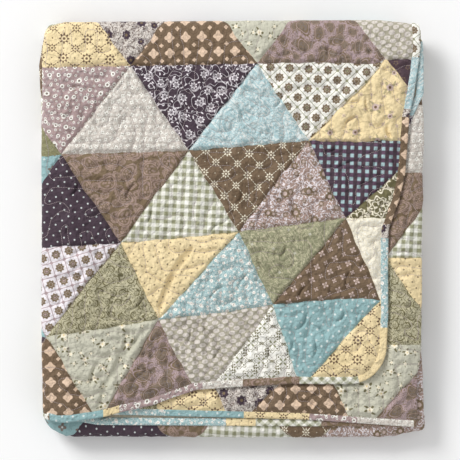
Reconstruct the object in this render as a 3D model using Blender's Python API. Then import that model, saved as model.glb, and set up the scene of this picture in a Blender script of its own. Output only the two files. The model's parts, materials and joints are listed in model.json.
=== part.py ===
"""Patchwork quilt, folded for the shelf.

The quilt is one quilted cloth with a binding sewn round its edge. It is folded in half and in half
again across its width, which gives a strip of four layers, and the strip is then folded back and
forth along its length into four runs. Both solids are worked out on the flat quilt and carried
through the same two folds, so that they stay clear of each other everywhere.

X is to the right, Y towards the far fold, Z up. The origin is the centre of the base.
"""

import math

import bpy
import numpy as np

# Cloth
LAYER = 0.0026          # thickness of the quilted cloth
LAYER_GAP = 0.0006      # air between two layers of one strip
RUN_GAP = 0.0009        # air between two runs of the strip
STRIP = 4 * LAYER + 3 * LAYER_GAP
SIDE_STRETCH = 1.6      # a side fold is this much longer than it is high
RUN_STRETCH = 1.7       # the same for a fold of the whole strip
CORNER_RADIUS = 0.060   # rounded corners of the flat quilt

# Binding
BINDING_WIDTH = 0.012
BINDING_CLOTH = 0.0005  # thickness of its wall
BINDING_LIP = 0.0010    # how far its rounded rim stands off
CLEARANCE = 0.0003
FACE_INSET = 0.0001     # keeps the binding just inside the cloth's faces
EDGE_INSET = BINDING_LIP + 0.0009
STEP_OUT = BINDING_WIDTH + 2 * CLEARANCE
STEP_IN = BINDING_WIDTH + 0.0025

# Quilting on the top layer
QUILTING_RISE = 0.0009
QUILTING_PITCH = 0.046
FILLING_CROWN = 0.0010

# The runs go from NEAR_LINE to FAR_LINE, where the folds begin
NEAR_LINE = -0.305
FAR_LINE = 0.305
CENTRE_SHIFT = (0.0008, -0.0013)
SETTLE_START = 0.240    # the stack gets thinner outside this distance from the middle
SETTLE_END = 0.330
SETTLE_DROP = 0.06

# Grid of the top layer
TOP_COLUMNS = 32
TOP_ROWS = 33
ROWS_BELOW = 3          # the hidden layers have one row for so many of the top layer's
CORNER_STEPS = 4        # stations of the binding on half a corner

# Panels of the section, in the order of the cloth from its hidden bound edge to the top flap's.
# The half-way folds lie between them.
UNDER, INNER_FOLD, THIRD, RIGHT_FOLD, BOTTOM, OUTER_FOLD, FLAP = range(7)
RUN_1, FAR_FOLD_1, RUN_2, NEAR_FOLD, RUN_3, FAR_FOLD_2, RUN_4 = range(7)
TOP_ONLY, BOTH, PLAIN = range(3)
EDGE_LINES = (EDGE_INSET, STEP_OUT, STEP_IN, 0.029, 0.045, CORNER_RADIUS)
RUN_LENGTH = 0.53       # about the straight length of a run, and the width of the flap
FOLD_STEPS = {INNER_FOLD: 4, RIGHT_FOLD: 4, OUTER_FOLD: 5}
LAYER_COLUMNS = {
    UNDER: (0.560, 0.660, 0.958),
    THIRD: (0.040, 0.693, 0.903),
    BOTTOM: (0.097, 0.870, 0.960),
    FLAP: (0.042, 0.346, 0.434, 0.594),
}

# Where the edges of the strip lie. Run 1.0 is the first far fold, 2.0 the near one, and so on.
SIDE_COLUMNS = ("run", "left_fold", "right_fold", "under_edge", "flap_edge")
SIDES = (
    (0.000, -0.2960, 0.2874, 0.2320, 0.2400),
    (0.120, -0.2970, 0.2874, 0.2320, 0.2400),
    (0.190, -0.2980, 0.2927, 0.2330, 0.2400),
    (0.280, -0.2985, 0.2940, 0.2350, 0.2427),
    (0.420, -0.2980, 0.2945, 0.2350, 0.2423),
    (0.500, -0.2975, 0.2943, 0.2360, 0.2432),
    (0.575, -0.2980, 0.2960, 0.2530, 0.2600),
    (0.640, -0.2985, 0.2953, 0.2620, 0.2690),
    (0.735, -0.2980, 0.2976, 0.2700, 0.2735),
    (0.790, -0.2975, 0.2970, 0.2816, 0.2757),
    (0.845, -0.2970, 0.2940, 0.2980, 0.2830),
    (0.930, -0.2975, 0.2930, 0.2982, 0.2905),
    (0.975, -0.2960, 0.2910, 0.2970, 0.2935),
    (1.000, -0.2945, 0.2900, 0.2935, 0.2920),
    (1.080, -0.3026, 0.2905, 0.2850, 0.2850),
    (1.200, -0.2990, 0.2915, 0.2620, 0.2640),
    (1.600, -0.2980, 0.2920, 0.2500, 0.2520),
    (1.800, -0.2980, 0.2935, 0.2470, 0.2490),
    (1.930, -0.2970, 0.2985, 0.2470, 0.2490),
    (2.000, -0.2960, 0.2990, 0.2480, 0.2500),
    (2.150, -0.2975, 0.2965, 0.2520, 0.2520),
    (2.500, -0.2985, 0.2930, 0.2620, 0.2600),
    (2.900, -0.2970, 0.2920, 0.2720, 0.2680),
    (3.000, -0.2950, 0.2900, 0.2700, 0.2660),
    (3.150, -0.2970, 0.2915, 0.2680, 0.2640),
    (3.500, -0.2980, 0.2940, 0.2560, 0.2580),
    (4.000, -0.2950, 0.2900, 0.2480, 0.2500),
)

# Where the two ends of the quilt lie. The place is the panel's number plus the share along it.
END_COLUMNS = ("place", "near_end", "far_end")
ENDS = (
    (0.000, -0.2290, -0.3010),
    (0.560, -0.2330, -0.3000),
    (0.660, -0.2530, -0.2990),
    (1.000, -0.2870, -0.2960),
    (2.000, -0.2880, -0.2960),
    (2.693, -0.2980, -0.3000),
    (3.000, -0.3100, -0.3040),
    (4.000, -0.3100, -0.3040),
    (4.870, -0.3070, -0.2990),
    (5.000, -0.2930, -0.2930),
    (6.000, -0.2900, -0.2920),
    (6.346, -0.2590, -0.3000),
    (6.434, -0.2430, -0.3010),
    (6.594, -0.2360, -0.3030),
    (7.000, -0.2400, -0.2980),
)

# Where the folds of the strip lie, from left to right. They bend at the columns that every layer has.
FOLD_COLUMNS = ("x", "far_fold_1", "near_fold", "far_fold_2")
FOLD_LINES = (
    (-0.3030, 0.3080, -0.2960, 0.3135),
    (-0.2855, 0.3165, -0.3110, 0.3215),
    (-0.2625, 0.3230, -0.3232, 0.3238),
    (0.2300, 0.3265, -0.3242, 0.3222),
    (0.3000, 0.3180, -0.3140, 0.3160),
)


def look_up(table, columns, name, at):
    """The named column of a table, read off between its rows."""
    place = columns.index(name)
    return np.interp(at, [row[0] for row in table], [row[place] for row in table])


def section(panel, share, inset, lift, run):
    """Place across the strip, height in the strip and bound edge, for points of the flat quilt.

    An inset counts from the bound edge, and a share along the panel serves where it is nan.
    """
    side = {name: look_up(SIDES, SIDE_COLUMNS, name, run) for name in SIDE_COLUMNS[1:]}
    left = side["left_fold"] + SIDE_STRETCH * STRIP / 2
    right = side["right_fold"] - SIDE_STRETCH * (LAYER + LAYER_GAP / 2)
    pitch = LAYER + LAYER_GAP
    turn = math.pi * share
    bound = np.where(panel == UNDER, side["under_edge"], side["flap_edge"])
    inward = np.where(np.isnan(inset), 0.0, inset)
    free = bound - STEP_IN
    inner = LAYER + LAYER_GAP / 2 - lift
    small = LAYER_GAP / 2 + lift
    outer = STRIP / 2 - LAYER + lift
    across = (
        np.where(np.isnan(inset), free + (left - free) * share, bound - inward),
        left - SIDE_STRETCH * inner * np.sin(turn),
        left + (right - left) * share,
        right + SIDE_STRETCH * small * np.sin(turn),
        right + (left - right) * share,
        left - SIDE_STRETCH * outer * np.sin(turn),
        np.where(np.isnan(inset), left + (free - left) * share, bound - inward),
    )
    height = (
        2 * pitch + LAYER - lift,
        STRIP / 2 + inner * np.cos(turn),
        pitch + lift,
        LAYER + LAYER_GAP / 2 + small * np.cos(turn),
        LAYER - lift,
        STRIP / 2 - outer * np.cos(turn),
        STRIP - LAYER + lift,
    )
    return np.choose(panel, across), np.choose(panel, height), bound


def round_corner(across, along):
    """Distances from the side and the end, moved so that the quilt's corner becomes an arc.

    Lines at one distance from the edges become arcs about one centre.
    """
    depth = np.minimum(across, along)
    other = np.maximum(across, along)
    inside = (other < CORNER_RADIUS) & (depth < CORNER_RADIUS)
    reach = np.where(inside, CORNER_RADIUS - depth, 1.0)
    angle = math.pi / 4 * np.where(inside, CORNER_RADIUS - other, 0.0) / reach
    long_leg = CORNER_RADIUS - reach * np.cos(angle)
    short_leg = CORNER_RADIUS - reach * np.sin(angle)
    from_side = np.where(across <= along, long_leg, short_leg)
    from_end = np.where(across <= along, short_leg, long_leg)
    return np.where(inside, from_side, across), np.where(inside, from_end, along)


def settled(y, z):
    """The stack lies a little lower towards its folds."""
    share = np.clip((np.abs(y) - SETTLE_START) / (SETTLE_END - SETTLE_START), 0.0, 1.0)
    return z * (1.0 - SETTLE_DROP * share)


def run_of(leg, y):
    """The run's number and the share along it, for a point at y."""
    length = FAR_LINE - NEAR_LINE
    forward = np.clip((y - NEAR_LINE) / length, 0.0, 1.0)
    back = np.clip((FAR_LINE - y) / length, 0.0, 1.0)
    runs = (forward, 1.0 + 0 * y, 1.0 + back, 2.0 + 0 * y, 2.0 + forward, 3.0 + 0 * y, 3.0 + back)
    return np.choose(leg, runs)


def strip_path(leg, share, from_end, place, x, height):
    """Y and Z of a point of the strip, and the near or far end that its leg starts from."""
    near_end = look_up(ENDS, END_COLUMNS, "near_end", place)
    far_end = look_up(ENDS, END_COLUMNS, "far_end", place)
    reach = RUN_STRETCH * (STRIP + RUN_GAP / 2)
    fold = {name: look_up(FOLD_LINES, FOLD_COLUMNS, name, x) for name in FOLD_COLUMNS[1:]}
    far_1 = fold["far_fold_1"] - reach
    near = fold["near_fold"] + reach
    far_2 = fold["far_fold_2"] - reach
    level = STRIP + RUN_GAP
    turn = math.pi * share
    outside = RUN_GAP / 2 + height
    inside = RUN_GAP / 2 + STRIP - height
    top_fold, middle_fold, low_fold = (count * level - RUN_GAP / 2 for count in (3, 2, 1))
    inward = np.where(np.isnan(from_end), 0.0, from_end)
    first = near_end + STEP_IN
    last = far_end + STEP_IN
    y = (
        np.where(np.isnan(from_end), first + (far_1 - first) * share, near_end + inward),
        far_1 + RUN_STRETCH * outside * np.sin(turn),
        far_1 + (near - far_1) * share,
        near - RUN_STRETCH * inside * np.sin(turn),
        near + (far_2 - near) * share,
        far_2 + RUN_STRETCH * outside * np.sin(turn),
        np.where(np.isnan(from_end), far_2 + (last - far_2) * share, far_end + inward),
    )
    z = (
        top_fold + outside,
        top_fold + outside * np.cos(turn),
        top_fold - outside,
        middle_fold + inside * np.cos(turn),
        low_fold + outside,
        low_fold + outside * np.cos(turn),
        low_fold - outside,
    )
    return np.choose(leg, y), np.choose(leg, z), np.where(leg == RUN_4, far_end, near_end)


def folded(panel, share, inset, lift, leg, along, from_end):
    """Carries points of the flat quilt through both folds. All arguments are arrays of one shape."""
    from_rim = np.where(np.isnan(inset), 0.0, inset) / RUN_LENGTH
    at_rim = np.where(panel == UNDER, from_rim, 1.0 - from_rim)
    place = panel + np.where(np.isnan(inset), share, at_rim)
    run = run_of(leg, NEAR_LINE + (FAR_LINE - NEAR_LINE) * 0.5 + 0 * share)
    for _ in range(3):
        x, height, bound = section(panel, share, inset, lift, run)
        y, z, end = strip_path(leg, along, from_end, place, x, height)
        run = run_of(leg, y)
    free = ((panel == UNDER) | (panel == FLAP)) & ((leg == RUN_1) | (leg == RUN_4))
    from_side, from_end_now = round_corner(bound - x, y - end)
    x = np.where(free, bound - from_side, x)
    y = np.where(free, end + from_end_now, y)
    z = settled(y, z)
    return np.stack([x + CENTRE_SHIFT[0], y + CENTRE_SHIFT[1], z], axis=-1)


def quilting(x, y):
    """Height of the stitched puffs over the top layer's face."""
    wave = 2 * math.pi / QUILTING_PITCH
    drift = 0.9 * np.sin(wave * 0.21 * x + 1.1) + 0.7 * np.sin(wave * 0.17 * y)
    puffs = np.sin(wave * x + drift + 0.6 * np.sin(wave * 0.5 * y)) * np.sin(wave * 0.93 * y - drift)
    return QUILTING_RISE * puffs


def columns_of(dense):
    """The places round the section that carry points: (panel, share, inset) rows."""
    nan = math.nan
    kept = LAYER_COLUMNS[FLAP]
    rows = [(UNDER, 0.0, inset) for inset in EDGE_LINES]
    for panel in (UNDER, INNER_FOLD, THIRD, RIGHT_FOLD, BOTTOM, OUTER_FOLD):
        if panel in FOLD_STEPS:
            count = FOLD_STEPS[panel]
            rows += [(panel, step / count, nan) for step in range(count + 1)]
        else:
            rows += [(panel, share, nan) for share in LAYER_COLUMNS[panel]]
    shares = sorted(set(kept) | set(spread(TOP_COLUMNS, kept))) if dense else kept
    rows += [(FLAP, share, nan) for share in shares]
    rows += [(FLAP, 1.0, inset) for inset in reversed(EDGE_LINES)]
    return rows


def past_corner(share):
    """Whether a share of the way from the bound edge's inner line lies past the rounded corner."""
    return share * RUN_LENGTH + STEP_IN > CORNER_RADIUS + 0.004


def spread(count, kept):
    """Even shares between 0 and 1, less those that fall next to a kept one."""
    shares = [step / count for step in range(1, count) if past_corner(1.0 - step / count)]
    return [share for share in shares if min(abs(share - other) for other in kept) > 0.35 / count]


def rows_of():
    """The places along the strip: (leg, share, distance from the end, kind) rows.

    The kind says which layers have the row: the top face alone, all with the top face finer, or all.
    """
    nan = math.nan
    rows = [(RUN_1, 0.0, inset, BOTH) for inset in EDGE_LINES]
    for step in range(1, TOP_ROWS):
        if past_corner(step / TOP_ROWS):
            rows.append((RUN_1, step / TOP_ROWS, nan, TOP_ONLY if step % ROWS_BELOW else BOTH))
    rows += [(FAR_FOLD_1, step / 7, nan, BOTH if step < 5 else PLAIN) for step in range(8)]
    rows += [(RUN_2, share, nan, PLAIN) for share in (0.11, 0.5, 0.89)]
    rows += [(NEAR_FOLD, step / 6, nan, PLAIN) for step in range(7)]
    rows += [(RUN_3, share, nan, PLAIN) for share in (0.11, 0.5, 0.89)]
    rows += [(FAR_FOLD_2, step / 6, nan, PLAIN) for step in range(7)]
    rows += [(RUN_4, share, nan, PLAIN) for share in (0.11, 0.5, 0.80)]
    rows += [(RUN_4, 1.0, inset, PLAIN) for inset in reversed(EDGE_LINES)]
    return rows


def place_row(columns, lifts, leg, share, from_end):
    """Points of one row, for columns that each have their lift."""
    panel = np.array([column[0] for column in columns])
    along = np.array([column[1] for column in columns])
    inset = np.array([column[2] for column in columns])
    same = np.ones(len(columns))
    return folded(
        panel, along, inset, np.asarray(lifts), (leg * same).astype(int), share * same, from_end * same
    )


def is_bound(inset):
    return inset < STEP_OUT + 1e-6


def lifts_of(columns, front, leg, share, from_end):
    """Height over the back of the cloth, thin inside the binding and quilted on the top layer."""
    thin = is_bound(from_end) if from_end == from_end else False
    wall = BINDING_CLOTH + FACE_INSET + CLEARANCE
    lifts = []
    for panel, _, inset in columns:
        bound = thin or (inset == inset and is_bound(inset))
        if front:
            lifts.append(LAYER - wall if bound else LAYER)
        else:
            lifts.append(wall if bound else 0.0)
    return lifts


def top_relief(points, columns, leg, share, from_end):
    """Raises the quilting on the flap where it is not covered, and leaves its rim alone."""
    if leg not in (RUN_1, FAR_FOLD_1) or (leg == FAR_FOLD_1 and share > 0.5):
        return points
    fade = 1.0 if leg == RUN_1 else max(0.0, math.cos(math.pi * share)) * 0.6
    if from_end == from_end:
        fade = rim_fade(from_end)
    raised = points.copy()
    for place, (panel, part, inset) in enumerate(columns):
        if panel != FLAP:
            continue
        from_side = inset if inset == inset else STEP_IN + (1.0 - part) * RUN_LENGTH
        rim = min(rim_fade(from_side), part / 0.05)
        x, y = points[place, 0], points[place, 1]
        raised[place, 2] += fade * rim * (float(quilting(x, y)) + FILLING_CROWN)
    return raised


def rim_fade(distance):
    """Nothing at the binding, and the full height a little further in."""
    return min(1.0, max(0.0, (distance - STEP_IN) / 0.025))


def zip_lines(first, second):
    """Triangles between two lines of (place, vertex), each sorted by place."""
    faces = []
    i = j = 0
    while i < len(first) - 1 or j < len(second) - 1:
        step_first = j == len(second) - 1 or (
            i < len(first) - 1 and first[i + 1][0] <= second[j + 1][0]
        )
        if step_first:
            faces.append((first[i][1], first[i + 1][1], second[j][1]))
            i += 1
        else:
            faces.append((first[i][1], second[j + 1][1], second[j][1]))
            j += 1
    return faces


def place_of(column):
    """The column's place along the cloth, for sorting."""
    panel, share, inset = column
    if inset != inset:
        return panel + 0.05 + 0.9 * share
    return 0.05 * inset / CORNER_RADIUS if panel == UNDER else 7.0 - 0.05 * inset / CORNER_RADIUS


def cloth_row(leg, share, from_end, kind):
    """Points of one row of the cloth: front and back lines as (column, point) lists."""
    lines = []
    for front in (True, False):
        columns = columns_of(front and kind != PLAIN)
        if kind == TOP_ONLY:
            columns = [column for column in columns if on_top(column)] if front else []
        if not columns:
            lines.append([])
            continue
        lifts = lifts_of(columns, front, leg, share, from_end)
        row = place_row(columns, lifts, leg, share, from_end)
        if front:
            row = top_relief(row, columns, leg, share, from_end)
        lines.append(list(zip(columns, row)))
    return lines


def on_top(column):
    """Whether a column is on the flap's open face, its two borders counted in."""
    panel, share, inset = column
    if panel == FLAP:
        return inset != inset or inset >= STEP_IN
    return panel == OUTER_FOLD and share == 1.0


def cloth_mesh():
    """The quilt cloth as one closed mesh."""
    points = []
    rows = []
    for leg, share, from_end, kind in rows_of():
        numbered = []
        for line in cloth_row(leg, share, from_end, kind):
            start = len(points)
            points += [tuple(float(value) for value in point) for _, point in line]
            numbered.append([(place_of(column), start + n, column) for n, (column, _) in enumerate(line)])
        rows.append((kind, *numbered))
    faces = top_face(rows) + lower_faces(rows)
    first = rows[0]
    last = rows[-1]
    faces += [face[::-1] for face in zip_lines(first[1], first[2])]
    faces += zip_lines(last[1], last[2])
    return points, faces


def top_face(rows):
    """The flap's open face, with the finer rows, sewn to the coarser columns beside it."""
    faces = []
    fine = [row for row in rows if row[0] != PLAIN]
    opened = [[item for item in row[1] if on_top(item[2])] for row in fine]
    for here, there in zip(opened, opened[1:]):
        faces += zip_lines(here, there)
    left = [(n, row[0][1]) for n, row in enumerate(opened)]
    right = [(n, row[-1][1]) for n, row in enumerate(opened)]
    beside_left = []
    beside_right = []
    for n, (kind, front, _) in enumerate(fine):
        if kind == BOTH:
            first = next(place for place, item in enumerate(front) if on_top(item[2]))
            beside_left.append((n, front[first - 1][1]))
            beside_right.append((n, front[-2][1]))
    faces += zip_lines(left, beside_left)
    faces += zip_lines(beside_right, right)
    return faces


def lower_faces(rows):
    """Every other face of the cloth, row by row."""
    faces = []
    main = [row for row in rows if row[0] != TOP_ONLY]
    for (kind_1, front_1, back_1), (kind_2, front_2, back_2) in zip(main, main[1:]):
        if kind_1 == BOTH and kind_2 == BOTH:
            for keep in (lambda column: column[0] != FLAP, lambda column: column[0] == FLAP):
                here = [item for item in front_1 if keep(item[2]) and not on_top(item[2])]
                there = [item for item in front_2 if keep(item[2]) and not on_top(item[2])]
                faces += zip_lines(here, there)
        else:
            faces += zip_lines(front_1, front_2)
        faces += [face[::-1] for face in zip_lines(back_1, back_2)]
        for end in (0, -1):
            ring = (front_1[end][1], front_2[end][1], back_2[end][1], back_1[end][1])
            faces.append(ring if end == 0 else ring[::-1])
    return faces


def binding_profile():
    """The binding's folded tape: (distance from the rim, lift) round its section."""
    low = FACE_INSET
    high = LAYER - FACE_INSET
    inside = BINDING_LIP + 0.0001
    return (
        (BINDING_WIDTH, high),
        (BINDING_LIP, high),
        (0.0, LAYER / 2),
        (BINDING_LIP, low),
        (BINDING_WIDTH, low),
        (BINDING_WIDTH, low + BINDING_CLOTH),
        (inside, low + BINDING_CLOTH),
        (inside, high - BINDING_CLOTH),
        (BINDING_WIDTH, high - BINDING_CLOTH),
    )


def side_station(panel, leg, share, from_end):
    """One section of the binding on a side of the quilt."""
    return [(panel, float(panel == FLAP), depth, lift, leg, share, from_end) for depth, lift in binding_profile()]


def end_station(panel, share, inset, leg):
    """One section of the binding on an end of the quilt."""
    return [(panel, share, inset, lift, leg, float(leg == RUN_4), depth) for depth, lift in binding_profile()]


def corner_stations(panel, leg, towards_end):
    """Sections round a corner, from the side to the end or the other way."""
    stations = []
    end_share = float(leg == RUN_4)
    for step in range(2 * CORNER_STEPS + 1):
        part = step if towards_end else 2 * CORNER_STEPS - step
        on_side = part <= CORNER_STEPS
        slide = part / CORNER_STEPS if on_side else (2 * CORNER_STEPS - part) / CORNER_STEPS
        station = []
        for depth, lift in binding_profile():
            other = CORNER_RADIUS - slide * (CORNER_RADIUS - depth)
            across, along = (depth, other) if on_side else (other, depth)
            station.append((panel, float(panel == FLAP), across, lift, leg, end_share, along))
        stations.append(station)
    return stations


def binding_stations():
    """All sections of the binding, once round the flat quilt."""
    side_rows = [row for row in rows_of() if row[2] != row[2] and row[3] != TOP_ONLY]
    near = [column for column in columns_of(True) if column[2] != column[2]]
    far = [column for column in columns_of(False) if column[2] != column[2]]
    stations = [end_station(panel, share, inset, RUN_1) for panel, share, inset in near]
    stations += corner_stations(FLAP, RUN_1, False)
    stations += [side_station(FLAP, leg, share, from_end) for leg, share, from_end, _ in side_rows]
    stations += corner_stations(FLAP, RUN_4, True)
    stations += [end_station(panel, share, inset, RUN_4) for panel, share, inset in reversed(far)]
    stations += corner_stations(UNDER, RUN_4, False)
    stations += [
        side_station(UNDER, leg, share, from_end) for leg, share, from_end, _ in reversed(side_rows)
    ]
    stations += corner_stations(UNDER, RUN_1, True)
    return stations


def binding_mesh():
    """The binding as one closed loop of folded tape."""
    stations = binding_stations()
    size = len(binding_profile())
    flat = [item for station in stations for item in station]
    values = [np.array(column, dtype=float) for column in zip(*flat)]
    panel, share, inset, lift, leg, along, from_end = values
    points = folded(panel.astype(int), share, inset, lift, leg.astype(int), along, from_end)
    faces = []
    for here in range(len(stations)):
        there = (here + 1) % len(stations)
        for side in range(size):
            after = (side + 1) % size
            a, b = here * size + side, here * size + after
            c, d = there * size + after, there * size + side
            faces += [(a, b, c), (a, c, d)]
    return [tuple(float(value) for value in point) for point in points], faces


def add_object(name, points, faces, colour, roughness):
    """A mesh object with a plain material of its own, its faces turned outwards."""
    mesh = bpy.data.meshes.new(name)
    mesh.from_pydata(points, [], faces)
    mesh.update()
    if signed_volume(mesh) < 0.0:
        mesh.flip_normals()
    material = bpy.data.materials.new(name)
    material.use_nodes = True
    shader = material.node_tree.nodes["Principled BSDF"]
    shader.inputs["Base Color"].default_value = (*colour, 1.0)
    shader.inputs["Roughness"].default_value = roughness
    shader.inputs["Metallic"].default_value = 0.0
    mesh.materials.append(material)
    mesh.shade_smooth()
    item = bpy.data.objects.new(name, mesh)
    bpy.context.scene.collection.objects.link(item)
    return item


def signed_volume(mesh):
    mesh.calc_loop_triangles()
    total = 0.0
    for triangle in mesh.loop_triangles:
        a, b, c = (mesh.vertices[index].co for index in triangle.vertices)
        total += a.dot(b.cross(c))
    return total


def main():
    for item in list(bpy.data.objects):
        bpy.data.objects.remove(item, do_unlink=True)
    add_object("quilt_cloth", *cloth_mesh(), (0.42, 0.37, 0.29), 0.9)
    add_object("edge_binding", *binding_mesh(), (0.55, 0.42, 0.24), 0.9)


main()
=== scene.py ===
"""Patchwork quilt, folded for the shelf: its cloth, patchwork, binding and stitching.

Every piece is worked out on the flat quilt and carried through the two folds of the cloth. Lengths
are in metres, and the tables with whole numbers are in millimetres. X is to the right, Y towards the
far fold, Z up.
"""

import json
import math

import bmesh
import bpy
import numpy as np
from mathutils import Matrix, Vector, kdtree

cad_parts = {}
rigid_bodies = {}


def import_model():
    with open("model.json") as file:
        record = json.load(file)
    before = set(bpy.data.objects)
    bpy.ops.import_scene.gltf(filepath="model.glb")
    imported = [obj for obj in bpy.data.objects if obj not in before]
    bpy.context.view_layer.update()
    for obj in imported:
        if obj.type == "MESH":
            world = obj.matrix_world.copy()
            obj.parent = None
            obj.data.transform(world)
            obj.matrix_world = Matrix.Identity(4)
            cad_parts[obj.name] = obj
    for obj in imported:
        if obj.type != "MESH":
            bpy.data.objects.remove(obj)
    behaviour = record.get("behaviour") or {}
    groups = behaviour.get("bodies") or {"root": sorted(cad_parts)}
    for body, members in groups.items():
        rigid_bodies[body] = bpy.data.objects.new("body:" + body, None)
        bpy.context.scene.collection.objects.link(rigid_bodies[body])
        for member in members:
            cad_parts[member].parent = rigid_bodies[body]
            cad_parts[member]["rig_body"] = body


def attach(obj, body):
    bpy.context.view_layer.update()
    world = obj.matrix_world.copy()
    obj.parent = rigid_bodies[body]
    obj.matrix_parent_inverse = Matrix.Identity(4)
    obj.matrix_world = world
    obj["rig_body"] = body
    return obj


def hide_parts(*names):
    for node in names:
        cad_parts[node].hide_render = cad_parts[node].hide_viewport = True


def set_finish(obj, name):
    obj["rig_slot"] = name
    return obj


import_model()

bl_info = {
    "name": "Folded patchwork quilt",
    "version": (1, 0, 0),
    "blender": (4, 2, 0),
    "location": "View3D > Sidebar > Quilt",
    "description": "Builds a folded patchwork quilt from its flat cloth",
    "category": "Add Mesh",
}

# Cloth
LAYER = 0.0026
LAYER_GAP = 0.0006
RUN_GAP = 0.0009
STRIP = 4 * LAYER + 3 * LAYER_GAP
SIDE_STRETCH = 1.6
RUN_STRETCH = 1.7
CORNER_RADIUS = 0.060
RAISE = 0.0003          # the patchwork lies this much over the sheet
WIDE_TURN = 0.0256      # cloth round the left fold
SMALL_TURN = 0.0122     # cloth round the right fold
STRIP_TURN = 0.055      # cloth round a fold of the strip
MILLI = 0.001

# Binding
BINDING_WIDTH = 0.012
UNDER_BINDING = 0.010   # the patchwork stops this far from a bound edge
STEP_IN = BINDING_WIDTH + 0.0025
EDGE_LINES = (0.0019, 0.0126, STEP_IN, 0.029, 0.045, CORNER_RADIUS)
CORNER_STEPS = 8
TAPE_MARGIN = 0.0007
PRESSED = 0.0009        # the sheet is this much thinner on each face under the binding
LOW_RISE = 0.0003       # the binding's rise where it is under other layers
TAPE_WAVER = 0.0006

# The folded strip: where its runs are measured from, its place, and how it lies lower at its folds
NEAR_LINE = -0.305
FAR_LINE = 0.305
CENTRE_SHIFT = (0.0008, -0.0013)
SETTLE_START = 0.240
SETTLE_END = 0.330
SETTLE_DROP = 0.06
RUN_LENGTH = 0.53
PANEL_LENGTH = 0.55
PANEL_WIDTH = 0.52

# How the patchwork ends at its borders, and how much of its relief is left on the turned cloth
TURN_GAP = 0.0003
FOLD_GAP = 0.0005
UNDER_FLAP = 0.045      # the strip's patches go on this far under the flap
PAST_LEFT_FOLD = 0.012
COVERED = 0.001
RAISE_BESIDE = 0.0002
RAISE_BELOW = 0.0001
RIM_FADE = 0.012
FLAP_FADE = 0.03
FLAP_TURN_RELIEF = 0.08
THIRD_RIM_FADE = 0.010
THIRD_FADE = 0.014
THIRD_TURN_RELIEF = 0.12
THIRD_FLAT_RELIEF = 0.98
SIDE_FADE = 0.006
RIGHT_FADE = 0.004
FAR_FADE = 0.01
LEFT_RELIEF = 0.15
RIGHT_RELIEF = 0.12
NEAR_RELIEF = 0.30
FAR_RELIEF = 0.2
NEAR_RELIEF_START = -0.302
FAR_RELIEF_RANGE = (0.31, 0.35)
NEAR_FOLD_TOP = -0.237
NEAR_FOLD_GRID = 1.2
FAR_FOLD_START = 0.24
FAR_FOLD_END = 0.37
LOWEST_START = -0.27
SIDE_END = 0.30
LEFT_SHIFT = 0.02
RIGHT_SHIFT = 0.06
UNDER_FACE_ENDS = (-0.245, 0.295)
UNDER_FACE_GRID = 2
UNDER_FACE_SHIFT = 0.04

# Seams
SEAM_WAVER = 0.0010
SEAM_RIPPLE = 0.0007
LINE_WAVER = 0.0006
LINE_RIPPLE = 0.0004
NARROWEST = 0.0002
SEAM_SLOPE = 0.0045     # the relief grows over this distance from a seam
SEAM_RELIEF = 0.25
ALLOWANCE = 0.00035     # the seam allowance shows as a low ridge beside the seam
ALLOWANCE_PLACE = 0.006
ALLOWANCE_WIDTH = 0.0022

# Thread
STITCH_PITCH = 1.04
THREAD_LIFT = 0.0002
THREAD_ROUND = 0.8
THREAD_CLEAR = 0.004
RIM_CLEAR = 0.003
THREAD_PAST_FOLD = 0.008
EDGE_PAST_FOLD = 0.01

# Quilting, wrinkles and lumps
QUILTED_LOW = (-0.36, -0.38)
QUILTED_HIGH = (0.36, 0.40)
LINE_STEP = 0.0015      # between the points of the stitched line that heights are measured from
PLUMP_SCALE = 0.04
GATHER_SCALE = 0.0046
GATHER_REACH = 0.0065
BEND = 0.010
BEND_SCALE = 0.05
WRINKLE_SCALE = 0.0075
FINE_SCALE = 0.0045
ROUGH_SCALE = 0.09
LUMP_SCALE = 0.027
BASE_LIFT = 0.0024      # keeps the deepest creases off the sheet
HIGHEST = 0.0100
NOISE_CELLS = 256

# Parts of the section across the strip, and parts along the strip, in the order of the flat quilt
UNDER, INNER_FOLD, THIRD, RIGHT_FOLD, BOTTOM, OUTER_FOLD, FLAP = range(7)
RUN_1, FAR_FOLD_1, RUN_2, NEAR_FOLD, RUN_3, FAR_FOLD_2, RUN_4 = range(7)

# Points of the plain sheet on each part, across and along the strip
COLUMN_COUNTS = {UNDER: 8, INNER_FOLD: 6, THIRD: 12, RIGHT_FOLD: 6, BOTTOM: 12, OUTER_FOLD: 10, FLAP: 14}
ROW_COUNTS = {RUN_1: 14, FAR_FOLD_1: 12, RUN_2: 14, NEAR_FOLD: 12, RUN_3: 14, FAR_FOLD_2: 12, RUN_4: 14}

# Side pieces: name, layer of the strip, run, first of the print cycles
LEFT_SIDES = (
    ("left_side_2", BOTTOM, RUN_2, 3),
    ("left_side_3", FLAP, RUN_3, 3),
    ("left_side_4", BOTTOM, RUN_4, 0),
)
RIGHT_SIDES = (
    ("right_side_2", BOTTOM, RUN_2, 0),
    ("right_side_3", THIRD, RUN_3, 0),
    ("right_side_4", BOTTOM, RUN_4, 1),
)
SIDE_STARTS = {RUN_2: NEAR_FOLD_TOP, RUN_3: -0.30, RUN_4: -0.30}

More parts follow.
